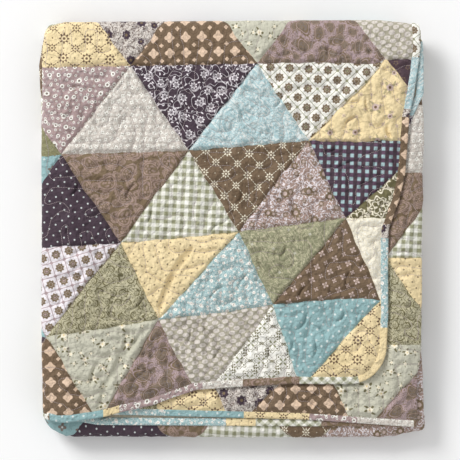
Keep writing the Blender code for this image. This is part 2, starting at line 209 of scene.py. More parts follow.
# Sides of the strip: 0 is the near end of the top run, 1 the far fold, 2 the near fold, and so on
SIDE_COLUMNS = ("run", "left_fold", "right_fold", "under_edge", "flap_edge")
SIDES = (
    (0.000, -0.2960, 0.2874, 0.2320, 0.2400),
    (0.120, -0.2970, 0.2874, 0.2320, 0.2400),
    (0.190, -0.2980, 0.2927, 0.2330, 0.2400),
    (0.280, -0.2985, 0.2940, 0.2350, 0.2427),
    (0.420, -0.2980, 0.2945, 0.2350, 0.2423),
    (0.500, -0.2975, 0.2943, 0.2360, 0.2432),
    (0.575, -0.2980, 0.2960, 0.2530, 0.2600),
    (0.640, -0.2985, 0.2953, 0.2620, 0.2690),
    (0.735, -0.2980, 0.2976, 0.2700, 0.2735),
    (0.790, -0.2975, 0.2970, 0.2816, 0.2757),
    (0.845, -0.2970, 0.2940, 0.2980, 0.2830),
    (0.930, -0.2975, 0.2930, 0.2982, 0.2905),
    (0.975, -0.2960, 0.2910, 0.2970, 0.2935),
    (1.000, -0.2945, 0.2900, 0.2935, 0.2920),
    (1.080, -0.3026, 0.2905, 0.2850, 0.2850),
    (1.200, -0.2990, 0.2915, 0.2620, 0.2640),
    (1.600, -0.2980, 0.2920, 0.2500, 0.2520),
    (1.800, -0.2980, 0.2935, 0.2470, 0.2490),
    (1.930, -0.2970, 0.2985, 0.2470, 0.2490),
    (2.000, -0.2960, 0.2990, 0.2480, 0.2500),
    (2.150, -0.2975, 0.2965, 0.2520, 0.2520),
    (2.500, -0.2985, 0.2930, 0.2620, 0.2600),
    (2.900, -0.2970, 0.2920, 0.2720, 0.2680),
    (3.000, -0.2950, 0.2900, 0.2700, 0.2660),
    (3.150, -0.2970, 0.2915, 0.2680, 0.2640),
    (3.500, -0.2980, 0.2940, 0.2560, 0.2580),
    (4.000, -0.2950, 0.2900, 0.2480, 0.2500),
)

# Ends of the top and the lowest run, layer by layer: the whole number is the part of the section
END_COLUMNS = ("place", "near_end", "far_end")
ENDS = (
    (0.000, -0.2290, -0.3010),
    (0.560, -0.2330, -0.3000),
    (0.660, -0.2530, -0.2990),
    (1.000, -0.2870, -0.2960),
    (2.000, -0.2880, -0.2960),
    (2.693, -0.2980, -0.3000),
    (3.000, -0.3100, -0.3040),
    (4.000, -0.3100, -0.3040),
    (4.870, -0.3070, -0.2990),
    (5.000, -0.2930, -0.2930),
    (6.000, -0.2990, -0.2920),
    (6.030, -0.3030, -0.2930),
    (6.060, -0.3025, -0.2940),
    (6.164, -0.2940, -0.2960),
    (6.220, -0.2860, -0.2980),
    (6.313, -0.2757, -0.2990),
    (6.375, -0.2640, -0.3000),
    (6.448, -0.2515, -0.3010),
    (6.562, -0.2473, -0.3030),
    (6.742, -0.2420, -0.3010),
    (6.838, -0.2425, -0.3000),
    (7.000, -0.2425, -0.2980),
)

# Outermost places of the three folds of the strip
FOLD_COLUMNS = ("x", "far_fold_1", "near_fold", "far_fold_2")
FOLD_LINES = (
    (-0.3030, 0.3080, -0.2960, 0.3135),
    (-0.2855, 0.3165, -0.3110, 0.3215),
    (-0.2625, 0.3230, -0.3232, 0.3238),
    (0.2300, 0.3265, -0.3242, 0.3222),
    (0.3000, 0.3180, -0.3140, 0.3160),
)

# Seams between the rows of patches on the flap, as (x, y) points in millimetres
SEAM_1 = ((-378, 251), (-297, 252), (-69, 256), (38, 258), (137, 260), (221, 257), (236, 264),
          (260, 265), (286, 263), (324, 262))
SEAM_2 = ((-378, 111), (-297, 113), (-269, 116), (-175, 119), (-69, 122), (27, 130), (119, 138),
          (168, 136), (222, 136), (233, 139), (260, 137), (308, 137))
SEAM_3 = ((-378, -36), (-297, -29), (-175, -22), (-82, -14), (12, -4), (105, 8), (176, 17),
          (238, 17), (269, 19), (308, 19))
SEAM_4 = ((-378, -176), (-291, -168), (-263, -164), (-207, -156), (-116, -141), (-29, -132),
          (43, -121), (62, -118), (129, -112), (191, -108), (230, -111), (293, -112))

# Rows of patches: name, lower line, upper line, slanted seams as (x below, x above, bow), and the
# prints from left to right. A line is a seam, a height, or "end" where the row runs out.
FLAP_ROWS = (
    ("patch_row_1", SEAM_1, "end",
     ((-358, -282, 0), (-160, -238, 0), (-160, -82, 0), (38, -38, 0), (38, 115, 0),
      (238, 160, 6)),
     ("teal_dots", "yellow_lattice", "plum_on_white", "peach_crosses", "sage_sprigs",
      "mauve_paisley", "beige_petals")),
    ("patch_row_2", SEAM_2, SEAM_1,
     ((-268, -358, 0), (-268, -160, 0), (-69, -160, 0), (-69, 38, 0), (118, 38, 0),
      (118, 236, 0), (316, 241, 8)),
     ("olive_plain", "mauve_rings", "pale_speckle", "plum_vines", "light_teal",
      "brown_stars", "yellow_roses", "plum_plain")),
    ("patch_row_3", SEAM_3, SEAM_2,
     ((-370, -268, 0), (-175, -268, 0), (-175, -69, 0), (9, -69, 0), (9, 119, 0),
      (176, 119, 0), (176, 311, 0)),
     ("teal_crosses", "plum_dots", "brown_paisley", "green_check", "brown_lattice",
      "lilac_blooms", "plum_check", "olive_ornament")),
    ("patch_row_4", SEAM_4, SEAM_3,
     ((-291, -370, 0), (-291, -175, 0), (-116, -175, 0), (-116, 9, 0), (62, 9, 0),
      (62, 176, 0), (230, 176, 0)),
     ("teal_dots", "lilac_stars", "olive_scrolls", "yellow_dots", "teal_rings",
      "sage_leaves", "brown_crosses", "cream_plain")),
    ("patch_row_5", "end", SEAM_4,
     ((-378, -291, 0), (-219, -291, 0), (-198, -116, 0), (-63, -116, 0), (-29, 62, 0),
      (100, 62, 0), (120, 230, 0)),
     ("plum_dots", "peach_crosses", "sage_sprigs", "mauve_paisley", "beige_petals",
      "green_ornament", "teal_dots", "yellow_lattice")),
)
RIGHT_ROWS = (
    ("right_strip_1", 194, "end", ((239, 150, 0), (239, 330, 0)),
     ("mauve_paisley", "plum_on_white", "peach_crosses")),
    ("right_strip_2", 88, 194, ((141, 239, 0),),
     ("plum_vines", "pale_speckle")),
    ("right_strip_3", -45, 88, ((239, 141, 0), (239, 336, 0)),
     ("plum_dots", "brown_paisley", "green_check")),
    ("right_strip_4", -181, -45, ((141, 239, 0), (331, 239, 0)),
     ("teal_rings", "olive_scrolls", "yellow_dots")),
)
NEAR_ROWS = (
    ("near_strip", "end", -181,
     ((-118, -140, 0), (-12, -55, 0), (29, 130, 0), (180, 130, 0), (223, 324, 0)),
     ("olive_scrolls", "yellow_lattice", "plum_on_white", "peach_crosses", "sage_sprigs",
      "mauve_paisley")),
)
NEAR_FOLD_ROWS = (
    ("near_fold_row", "end", -237,
     ((-278, -180, 0), (-77, -180, 0), (-77, 13, 0), (115, 13, 0), (115, 211, 0), (304, 330, 0)),
     ("teal_crosses", "plum_dots", "brown_paisley", "green_check", "brown_lattice",
      "lilac_blooms", "plum_check")),
)
CYCLES = (
    ("yellow_lattice", "plum_on_white", "peach_crosses", "sage_sprigs", "mauve_paisley",
     "beige_petals", "green_ornament", "teal_dots"),
    ("olive_plain", "mauve_rings", "pale_speckle", "plum_vines", "light_teal", "brown_stars",
     "yellow_roses", "plum_plain"),
    ("teal_crosses", "plum_dots", "brown_paisley", "green_check", "brown_lattice",
     "lilac_blooms", "plum_check", "olive_ornament"),
    ("lilac_stars", "olive_scrolls", "yellow_dots", "teal_rings", "sage_leaves",
     "brown_crosses", "cream_plain", "light_teal"),
)
RIGHT_CYCLES = (
    ("mauve_paisley", "lilac_blooms"),
    ("olive_scrolls", "yellow_dots"),
    ("pale_speckle", "plum_vines"),
    ("light_teal", "brown_stars"),
)
ROW_HEIGHT = 0.137
PATCH_BASE = 0.195

# Main creases of the flap: x, y, length, half width (millimetres) and direction (degrees)
CREASES = (
    (130, 297, 22, 2.8, 80), (101, 309, 19, 2.6, 60), (147, 278, 19, 2.8, 85),
    (169, 286, 20, 3.0, 95), (193, 312, 19, 2.8, 130), (218, 309, 19, 2.4, 60),
    (238, 287, 16, 2.8, 20), (268, 301, 22, 2.8, 100), (241, 150, 22, 3.9, 110),
    (183, 172, 19, 2.8, 30), (155, 181, 16, 2.5, 60), (176, 103, 31, 2.8, 20),
    (218, 97, 25, 3.1, 80), (199, 66, 25, 2.8, 70), (249, 109, 19, 2.8, 100),
    (152, 122, 19, 2.6, 15), (110, -146, 28, 3.7, 60), (140, -160, 25, 3.4, 125),
    (129, -185, 25, 2.8, 90), (168, -140, 22, 3.7, 45), (91, -187, 22, 3.0, 70),
    (157, -193, 22, 2.8, 50), (193, -140, 19, 2.5, 80), (-7, 17, 34, 3.0, 50),
    (-30, 3, 22, 2.8, 40), (12, 50, 19, 2.8, 70), (-179, -209, 94, 5.6, 65),
    (-163, -190, 62, 4.7, 60), (-204, -260, 47, 4.4, 75), (-219, -224, 37, 3.7, 70),
    (-90, -65, 78, 5.6, 62), (-107, -100, 62, 4.7, 70), (-73, -47, 41, 3.7, 55),
    (-85, -206, 47, 3.9, 100), (-69, -171, 31, 2.8, 70), (-26, -193, 25, 2.8, 60),
    (-44, -159, 22, 3.0, 110), (105, -98, 22, 2.8, 60), (152, -103, 19, 2.7, 115),
    (176, -79, 25, 2.8, 80), (202, -53, 19, 2.8, 50), (124, -53, 22, 3.1, 100),
    (62, 60, 25, 2.8, 60), (90, 35, 22, 2.6, 100), (40, 21, 28, 3.7, 70),
    (40, -53, 25, 2.8, 110), (80, -34, 22, 2.8, 70), (12, -81, 31, 3.5, 60),
    (-27, -96, 25, 2.8, 40), (27, -159, 28, 3.0, 95), (55, -193, 22, 2.8, 80),
    (-129, 21, 25, 2.8, 75), (-163, 60, 28, 2.9, 60), (-113, 60, 22, 2.8, 100),
    (-35, 208, 25, 2.8, 70), (12, 184, 22, 2.8, 110), (74, 200, 25, 3.0, 60),
    (105, 169, 22, 2.8, 80), (168, 212, 28, 2.8, 50), (207, 192, 22, 2.5, 100),
    (-214, 192, 25, 2.8, 80), (-246, 60, 22, 2.8, 60), (-238, -96, 25, 3.0, 100),
    (-269, -112, 22, 2.8, 70), (-144, -112, 31, 2.8, 60),
)

# Scraps of the binding: on the ends of a layer from x to the next, on the flap's side from y down
FLAP_END_SCRAPS = ((-999, "teal_dots"), (-204, "yellow_dots"), (-178, "mauve_rings"),
                   (-51, "pale_speckle"), (12, "brown_paisley"), (102, "green_bias"),
                   (194, "yellow_plain"))
FLAP_SIDE_SCRAPS = ((-999, "yellow_plain"), (-156, "teal_rings"), (-18, "plum_on_white"),
                    (5, "peach_crosses"), (172, "plum_on_white"), (186, "light_teal"),
                    (265, "brown_stars"), (325, "teal_dots"))
THIRD_END_SCRAPS = ((-999, "teal_rings"), (-105, "teal_dots"), (16, "yellow_lattice"),
                    (116, "mauve_rings"), (191, "pale_speckle"), (284, "plum_check"))
BOTTOM_END_SCRAPS = ((-999, "brown_stars"), (-243, "teal_rings"), (-10, "yellow_dots"),
                     (40, "green_bias"), (140, "brown_paisley"))
UNDER_SIDE_SCRAPS = ((-999, "yellow_dots"), (60, "plum_vines"), (181, "light_teal"),
                     (300, "brown_lattice"))
OTHER_SCRAPS = ("plum_dots", "yellow_lattice", "teal_rings", "olive_scrolls", "mauve_rings",
                "green_bias", "brown_paisley", "sage_sprigs", "light_teal", "peach_crosses")
SCRAP_LENGTH = 0.16


def look_up(table, columns, name, at):
    """The named column of a table, read off between its rows."""
    place = columns.index(name)
    return np.interp(at, [row[0] for row in table], [row[place] for row in table])


def section(panel, share, inset, lift, run):
    """Place across the strip, height in the strip and bound edge, for points of the flat quilt.

    An inset counts from the bound edge, and a share along the panel serves where it is nan.
    """
    side = {name: look_up(SIDES, SIDE_COLUMNS, name, run) for name in SIDE_COLUMNS[1:]}
    left = side["left_fold"] + SIDE_STRETCH * STRIP / 2
    right = side["right_fold"] - SIDE_STRETCH * (LAYER + LAYER_GAP / 2)
    pitch = LAYER + LAYER_GAP
    turn = math.pi * share
    bound = np.where(panel == UNDER, side["under_edge"], side["flap_edge"])
    inward = np.where(np.isnan(inset), 0.0, inset)
    free = bound - STEP_IN
    inner = LAYER + LAYER_GAP / 2 - lift
    small = LAYER_GAP / 2 + lift
    outer = STRIP / 2 - LAYER + lift
    across = (
        np.where(np.isnan(inset), free + (left - free) * share, bound - inward),
        left - SIDE_STRETCH * inner * np.sin(turn),
        left + (right - left) * share,
        right + SIDE_STRETCH * small * np.sin(turn),
        right + (left - right) * share,
        left - SIDE_STRETCH * outer * np.sin(turn),
        np.where(np.isnan(inset), left + (free - left) * share, bound - inward),
    )
    height = (
        2 * pitch + LAYER - lift,
        STRIP / 2 + inner * np.cos(turn),
        pitch + lift,
        LAYER + LAYER_GAP / 2 + small * np.cos(turn),
        LAYER - lift,
        STRIP / 2 - outer * np.cos(turn),
        STRIP - LAYER + lift,
    )
    return np.choose(panel, across), np.choose(panel, height), bound


def round_corner(across, along):
    """Distances from the side and the end, moved so that the quilt's corner becomes an arc.

    Lines at one distance from the edges become arcs about one centre.
    """
    depth = np.minimum(across, along)
    other = np.maximum(across, along)
    inside = (other < CORNER_RADIUS) & (depth < CORNER_RADIUS)
    reach = np.where(inside, CORNER_RADIUS - depth, 1.0)
    angle = math.pi / 4 * np.where(inside, CORNER_RADIUS - other, 0.0) / reach
    long_leg = CORNER_RADIUS - reach * np.cos(angle)
    short_leg = CORNER_RADIUS - reach * np.sin(angle)
    from_side = np.where(across <= along, long_leg, short_leg)
    from_end = np.where(across <= along, short_leg, long_leg)
    return np.where(inside, from_side, across), np.where(inside, from_end, along)


def settled(y, z):
    """The stack lies a little lower towards its folds."""
    share = np.clip((np.abs(y) - SETTLE_START) / (SETTLE_END - SETTLE_START), 0.0, 1.0)
    return z * (1.0 - SETTLE_DROP * share)


def run_of(leg, y):
    """The run's number and the share along it, for a point at y."""
    length = FAR_LINE - NEAR_LINE
    forward = np.clip((y - NEAR_LINE) / length, 0.0, 1.0)
    back = np.clip((FAR_LINE - y) / length, 0.0, 1.0)
    runs = (forward, 1.0 + 0 * y, 1.0 + back, 2.0 + 0 * y, 2.0 + forward, 3.0 + 0 * y, 3.0 + back)
    return np.choose(leg, runs)


def strip_path(leg, share, from_end, place, x, height):
    """Y and Z of a point of the strip, and the near or far end that its leg starts from."""
    near_end = look_up(ENDS, END_COLUMNS, "near_end", place)
    far_end = look_up(ENDS, END_COLUMNS, "far_end", place)
    reach = RUN_STRETCH * (STRIP + RUN_GAP / 2)
    fold = {name: look_up(FOLD_LINES, FOLD_COLUMNS, name, x) for name in FOLD_COLUMNS[1:]}
    far_1 = fold["far_fold_1"] - reach
    near = fold["near_fold"] + reach
    far_2 = fold["far_fold_2"] - reach
    level = STRIP + RUN_GAP
    turn = math.pi * share
    outside = RUN_GAP / 2 + height
    inside = RUN_GAP / 2 + STRIP - height
    top_fold, middle_fold, low_fold = (count * level - RUN_GAP / 2 for count in (3, 2, 1))
    inward = np.where(np.isnan(from_end), 0.0, from_end)
    first = near_end + STEP_IN
    last = far_end + STEP_IN
    y = (
        np.where(np.isnan(from_end), first + (far_1 - first) * share, near_end + inward),
        far_1 + RUN_STRETCH * outside * np.sin(turn),
        far_1 + (near - far_1) * share,
        near - RUN_STRETCH * inside * np.sin(turn),
        near + (far_2 - near) * share,
        far_2 + RUN_STRETCH * outside * np.sin(turn),
        np.where(np.isnan(from_end), far_2 + (last - far_2) * share, far_end + inward),
    )
    z = (
        top_fold + outside,
        top_fold + outside * np.cos(turn),
        top_fold - outside,
        middle_fold + inside * np.cos(turn),
        low_fold + outside,
        low_fold + outside * np.cos(turn),
        low_fold - outside,
    )
    return np.choose(leg, y), np.choose(leg, z), np.where(leg == RUN_4, far_end, near_end)


def folded(panel, share, inset, lift, leg, along, from_end):
    """Carries points of the flat quilt through both folds. All arguments are arrays of one shape."""
    from_rim = np.where(np.isnan(inset), 0.0, inset) / RUN_LENGTH
    at_rim = np.where(panel == UNDER, from_rim, 1.0 - from_rim)
    place = panel + np.where(np.isnan(inset), share, at_rim)
    run = run_of(leg, NEAR_LINE + (FAR_LINE - NEAR_LINE) * 0.5 + 0 * share)
    for _ in range(3):
        x, height, bound = section(panel, share, inset, lift, run)
        y, z, end = strip_path(leg, along, from_end, place, x, height)
        run = run_of(leg, y)
    free = ((panel == UNDER) | (panel == FLAP)) & ((leg == RUN_1) | (leg == RUN_4))
    from_side, from_end_now = round_corner(bound - x, y - end)
    x = np.where(free, bound - from_side, x)
    y = np.where(free, end + from_end_now, y)
    z = settled(y, z)
    return np.stack([x + CENTRE_SHIFT[0], y + CENTRE_SHIFT[1], z], axis=-1)


def fold_lines(x):
    """Where the three folds of the strip begin, at x."""
    reach = RUN_STRETCH * (STRIP + RUN_GAP / 2)
    far_1, near, far_2 = (look_up(FOLD_LINES, FOLD_COLUMNS, name, x) for name in FOLD_COLUMNS[1:])
    return far_1 - reach, near + reach, far_2 - reach


def side_lines(run):
    """Where the left and right folds begin, and the two bound edges."""
    left, right, under, flap = (look_up(SIDES, SIDE_COLUMNS, name, run) for name in SIDE_COLUMNS[1:])
    return left + SIDE_STRETCH * STRIP / 2, right - SIDE_STRETCH * (LAYER + LAYER_GAP / 2), under, flap


def part_of(value):
    """The value, kept between 0 and 1."""
    return np.clip(value, 0.0, 1.0)


def on_layer(layer, leg, p, q, lift):
    """Points over one layer of one run. Past a fold line they go on round the fold."""
    run = run_of(np.full(p.shape, leg), q)
    left, right, _, edge = side_lines(run)
    free = edge - STEP_IN
    if layer == FLAP:
        past = p < left
        panel = np.where(past, OUTER_FOLD, FLAP)
        share = np.where(past, 1.0 - part_of((left - p) / WIDE_TURN), (p - left) / (free - left))
    elif layer == THIRD:
        past = p > right
        panel = np.where(past, RIGHT_FOLD, THIRD)
        share = np.where(past, part_of((p - right) / SMALL_TURN), (p - left) / (right - left))
    else:
        panel = np.where(p > right, RIGHT_FOLD, np.where(p < left, OUTER_FOLD, BOTTOM))
        share = np.where(p > right, 1.0 - part_of((p - right) / SMALL_TURN), (right - p) / (right - left))
        share = np.where(p < left, part_of((left - p) / WIDE_TURN), share)
    place = panel + part_of(share)
    none = np.full(p.shape, np.nan)
    x, height, _ = section(panel, share, none, lift, run)
    far_1, near, far_2 = fold_lines(x)
    near_end = look_up(ENDS, END_COLUMNS, "near_end", place) + STEP_IN
    far_end = look_up(ENDS, END_COLUMNS, "far_end", place) + STEP_IN
    fore, main, aft = {
        RUN_1: (FAR_FOLD_1, (q - near_end) / (far_1 - near_end), None),
        RUN_2: (FAR_FOLD_1, (far_1 - q) / (far_1 - near), NEAR_FOLD),
        RUN_3: (FAR_FOLD_2, (q - near) / (far_2 - near), NEAR_FOLD),
        RUN_4: (FAR_FOLD_2, (far_2 - q) / (far_2 - far_end), None),
    }[leg]
    beyond = part_of((q - (far_1 if fore == FAR_FOLD_1 else far_2)) / STRIP_TURN)
    forward = leg in (RUN_1, RUN_3)
    legs = np.where(beyond > 0.0, fore, leg)
    along = np.where(beyond > 0.0, beyond if forward else 1.0 - beyond, main)
    if aft is not None:
        before = part_of((near - q) / STRIP_TURN)
        legs = np.where(before > 0.0, aft, legs)
        along = np.where(before > 0.0, before if leg == RUN_2 else 1.0 - before, along)
    y, z, _ = strip_path(legs, along, none, place, x, height)
    z = settled(y, z)
    return np.stack([x + CENTRE_SHIFT[0], y + CENTRE_SHIFT[1], z], axis=-1)


def soft_noise(x, y, scale, seed):
    """Smooth random heights from -1 to 1 on a grid of that scale."""
    grid = np.random.default_rng(seed).uniform(-1.0, 1.0, (NOISE_CELLS + 1, NOISE_CELLS + 1))
    u = x / scale + 61.3
    v = y / scale + 47.9
    i = np.floor(u).astype(int)
    j = np.floor(v).astype(int)
    a = u - i
    b = v - j
    a = a * a * (3 - 2 * a)
    b = b * b * (3 - 2 * b)
    i, j = i % NOISE_CELLS, j % NOISE_CELLS
    low = grid[i, j] * (1 - a) + grid[i + 1, j] * a
    high = grid[i, j + 1] * (1 - a) + grid[i + 1, j + 1] * a
    return low * (1 - b) + high * b


def meander(low, high, pitch, seed):
    """One line of small curves that fills the area and never crosses itself.

    It runs once round a random tree on a grid of twice the pitch.
    """
    rng = np.random.default_rng(seed)
    wide = int((high[0] - low[0]) / (2 * pitch))
    tall = int((high[1] - low[1]) / (2 * pitch))
    links = set()
    seen = {(wide // 2, tall // 2)}
    edge = [((wide // 2, tall // 2), step) for step in ((1, 0), (-1, 0), (0, 1), (0, -1))]
    while edge:
        cell, step = edge.pop(int(rng.integers(len(edge))))
        after = (cell[0] + step[0], cell[1] + step[1])
        if after in seen or not (0 <= after[0] < wide and 0 <= after[1] < tall):
            continue
        seen.add(after)
        links.add((cell, after))
        links.add((after, cell))
        edge += [(after, more) for more in ((1, 0), (-1, 0), (0, 1), (0, -1))]
    beside = {}

    def join(one, other):
        beside.setdefault(one, []).append(other)
        beside.setdefault(other, []).append(one)

    for i in range(wide):
        for j in range(tall):
            a, b, c, d = (2 * i, 2 * j), (2 * i + 1, 2 * j), (2 * i + 1, 2 * j + 1), (2 * i, 2 * j + 1)
            right = ((i, j), (i + 1, j)) in links
            up = ((i, j), (i, j + 1)) in links
            if right:
                join(b, (2 * i + 2, 2 * j))
                join(c, (2 * i + 2, 2 * j + 1))
            else:
                join(b, c)
            if up:
                join(d, (2 * i, 2 * j + 2))
                join(c, (2 * i + 1, 2 * j + 2))
            else:
                join(d, c)
            if ((i, j), (i - 1, j)) not in links:
                join(a, d)
            if ((i, j), (i, j - 1)) not in links:
                join(a, b)
    walk = [(0, 0)]
    before = None
    while True:
        after = next(item for item in beside[walk[-1]] if item != before)
        before = walk[-1]
        if after == walk[0]:
            break
        walk.append(after)
    line = np.array(walk, dtype=float)
    line += rng.uniform(-0.16, 0.16, line.shape)
    for _ in range(4):
        after = np.roll(line, -1, axis=0)
        line = np.stack([line * 0.75 + after * 0.25, line * 0.25 + after * 0.75], axis=1).reshape(-1, 2)
    for _ in range(5):
        line = (np.roll(line, 3, axis=0) + 2.0 * line + np.roll(line, -3, axis=0)) / 4.0
    sway = np.stack([soft_noise(line[:, 0], line[:, 1], 1.15, seed + n) for n in (1, 2)], axis=1)
    return np.array(low) + (line + 0.40 * sway + 0.5) * pitch


def evenly(line, pitch):
    """Points along a closed line, one pitch apart."""
    closed = np.vstack([line, line[:1]])
    steps = np.hypot(*np.diff(closed, axis=0).T)
    length = np.concatenate([[0.0], np.cumsum(steps)])
    at = np.arange(0.0, length[-1], pitch)
    return np.stack([np.interp(at, length, closed[:, 0]), np.interp(at, length, closed[:, 1])], axis=1)


class Quilting:
    """The stitched line, and the height of the cloth about it."""

    def __init__(self, sizes):
        self.puff = sizes.puff
        self.pitch = sizes.quilting_pitch
        self.wrinkle = sizes.wrinkle
        self.crease = sizes.crease
        self.lump = sizes.lump
        self.line = meander(QUILTED_LOW, QUILTED_HIGH, self.pitch, 7)
        dense = evenly(self.line, LINE_STEP)
        self.tree = kdtree.KDTree(len(dense))
        for n, (x, y) in enumerate(dense):
            self.tree.insert(Vector((x, y, 0.0)), n)
        self.tree.balance()

    def nearest(self, p, q):
        """Distance from the stitched line, and how far along it the nearest point lies."""
        found = [self.tree.find((x, y, 0.0)) for x, y in zip(p.tolist(), q.tolist())]
        return np.array([item[2] for item in found]), np.array([item[1] for item in found]) * LINE_STEP

    def height(self, p, q):
        """Height of the cloth over its flat layer."""
        far, along = self.nearest(p, q)
        plump = 1.0 + 0.35 * soft_noise(p, q, PLUMP_SCALE, 3)
        share = np.clip(far / (0.55 * self.pitch), 0.0, 1.0)
        puffed = self.puff * plump * (1.0 - (1.0 - share) ** 2.2)
        gathers = soft_noise(along, far * 0.35, GATHER_SCALE, 19) * np.exp(-far / GATHER_REACH)
        bend = BEND * soft_noise(p, q, BEND_SCALE, 5)
        fine = soft_noise((p + bend) * 0.8 + q * 0.6, (q - bend) * 0.5 - p * 0.5, WRINKLE_SCALE, 11)
        finer = soft_noise(p + 1.3 * bend, q, FINE_SCALE, 13)
        rough = self.wrinkle * (0.65 + 0.35 * soft_noise(p, q, ROUGH_SCALE, 17))
        lumps = self.lump * soft_noise(p + bend, q - bend, LUMP_SCALE, 21)
        body = puffed + rough * (fine + 0.5 * finer + 1.5 * gathers) + lumps
        return np.clip(BASE_LIFT + body - self.creases(p, q), 0.0, HIGHEST)

    def creases(self, p, q):
        """Depth of the main creases, each a soft trough with low ridges beside it."""
        deep = np.zeros(np.shape(p))
        for x, y, length, width, angle in CREASES:
            c, s = math.cos(math.radians(angle)), math.sin(math.radians(angle))
            u = ((p - x * MILLI) * c + (q - y * MILLI) * s) / (length * MILLI / 2)
            v = (-(p - x * MILLI) * s + (q - y * MILLI) * c) / (width * MILLI)
            v = v + 0.9 * u * u * (1 if (x + y) % 2 else -1)
            near = (np.abs(u) < 1.6) & (np.abs(v) < 4.0)
            trough = (1.0 - 0.9 * v**2) * np.exp(-(v**2)) * np.exp(-(u**4))
            deep = deep + np.where(near, self.crease * (0.6 + width / 6.0) * trough, 0.0)
        return deep


def curve_of(line):
    """A row's line as a function of x, in metres."""
    if isinstance(line, tuple):
        xs = np.array([point[0] for point in line]) * MILLI
        ys = np.array([point[1] for point in line]) * MILLI

        def curve(p):
            waver = LINE_WAVER * np.sin(p * 131.0 + ys[0] * 40.0)
            return np.interp(p, xs, ys) + waver + LINE_RIPPLE * np.sin(p * 353.0)

        return curve
    return lambda p: np.full(np.shape(p), line * MILLI)


def zip_lines(first, second, one, other):
    """Triangles between two lines of points at the places in first and second."""
    faces = []
    i = j = 0
    while i < len(first) - 1 or j < len(second) - 1:
        step_first = j == len(second) - 1 or (i < len(first) - 1 and first[i + 1] <= second[j + 1])
        if step_first:
            faces.append((one + i, one + i + 1, other + j))
            i += 1
        else:
            faces.append((one + i, other + j + 1, other + j))
            j += 1
    return faces


class Window:
    """A part of one layer of one run that shows, with its borders."""

    def __init__(self, layer, leg, left, right, low, high, grid, shown, raised=1.0, lies=RAISE):
        self.layer, self.leg, self.grid = layer, leg, grid
        self.left, self.right, self.low, self.high = left, right, low, high
        self.shown = shown
        self.raised = raised
        self.lies = lies

    def points(self, p, q, lift):
        """Points in space for places on the flat, lifted off the cloth."""
        return on_layer(self.layer, self.leg, p, q, LAYER + self.lies + lift)

    def fade(self, p, q):
        """How much of the relief is left at each place."""
        return self.raised * self.shown(p, q)


def row_points(window, row, number):
    """Lines of points for each patch of a row, each line as (x, y, distance from a seam)."""
    _, low, high, cuts, prints = row
    low_curve = window.low if low == "end" else curve_of(low)
    high_curve = window.high if high == "end" else curve_of(high)
    tall = float(np.mean(high_curve(np.array([0.0, 0.1])) - low_curve(np.array([0.0, 0.1]))))
    lines = max(2, round(tall / window.grid))
    patches = [[] for _ in prints]
    for line in range(lines + 1):
        t = line / lines
        borders = [-math.inf]
        for n, (below, above, bow) in enumerate(cuts):
            waver = SEAM_WAVER * math.sin(9.0 * t + 2.3 * n + number)
            waver += SEAM_RIPPLE * math.sin(27.0 * t + 1.7 * n)
            waver *= math.sin(math.pi * t)
            borders.append((below + (above - below) * t + bow * math.sin(math.pi * t)) * MILLI + waver)
        borders.append(math.inf)

        def q_at(p):
            return low_curve(p) * (1 - t) + high_curve(p) * t

        left = right = 0.0
        for _ in range(4):
            left = float(window.left(q_at(left)))
            right = float(window.right(q_at(right)))
        for n in range(len(prints)):
            start, stop = max(borders[n], left), min(borders[n + 1], right)
            if stop - start < NARROWEST:
                continue
            count = max(1, round((stop - start) / window.grid))
            p = np.linspace(start, stop, count + 1)
            q = q_at(p)
            seam = np.minimum(p - borders[n], borders[n + 1] - p) * 0.8
            if low != "end":
                seam = np.minimum(seam, t * tall)
            if high != "end":
                seam = np.minimum(seam, (1 - t) * tall)
            patches[n].append((p, q, seam))
    return patches


def rows_object(name, window, rows, quilting, number=0):
    """One mesh from rows of patches, each patch with its own print."""
    all_p, all_q, all_seam, faces, kinds, used = [], [], [], [], [], []
    total = 0
    for row in rows:
        number += 1
        *_, prints = row
        for print_name, lines in zip(prints, row_points(window, row, number)):
            if len(lines) < 2:
                continue
            if print_name not in used:
                used.append(print_name)
            starts = []
            for p, q, seam in lines:
                starts.append(total)
                total += len(p)
                all_p.append(p)
                all_q.append(q)
                all_seam.append(seam)
            for n in range(len(lines) - 1):
                more = zip_lines(lines[n][0], lines[n + 1][0], starts[n], starts[n + 1])
                faces += more
                kinds += [used.index(print_name)] * len(more)
    p, q, seam = np.concatenate(all_p), np.concatenate(all_q), np.concatenate(all_seam)
    sewn = part_of(seam / SEAM_SLOPE)
    sewn = sewn * sewn * (3 - 2 * sewn)
    allowance = ALLOWANCE * np.exp(-(((seam - ALLOWANCE_PLACE) / ALLOWANCE_WIDTH) ** 2))
    puffed = quilting.height(p, q) * (SEAM_RELIEF + (1.0 - SEAM_RELIEF) * sewn)
    points = window.points(p, q, (puffed + allowance) * window.fade(p, q))
    materials = [print_material(item) for item in used]
    return mesh_object(name, points, faces, kinds, materials, np.stack([p, q], axis=1))


def mesh_object(name, points, faces, kinds, materials, places):
    """A smooth mesh object that rides on the part, with its flat places as texture coordinates."""
    mesh = bpy.data.meshes.new(name)
    mesh.from_pydata([tuple(row) for row in points.tolist()], [], faces)
    for material in materials:
        mesh.materials.append(material)
    if len(materials) > 1:
        mesh.polygons.foreach_set("material_index", np.array(kinds, dtype=np.int32))
    corner = np.empty(len(mesh.loops), dtype=np.int32)
    mesh.loops.foreach_get("vertex_index", corner)
    layer = mesh.uv_layers.new(name="cloth")
    layer.data.foreach_set("uv", np.asarray(places, dtype=np.float32)[corner].reshape(-1))
    mesh.shade_smooth()
    mesh.update()
    item = bpy.data.objects.new(name, mesh)
    bpy.context.scene.collection.objects.link(item)
    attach(item, "root")
    return item


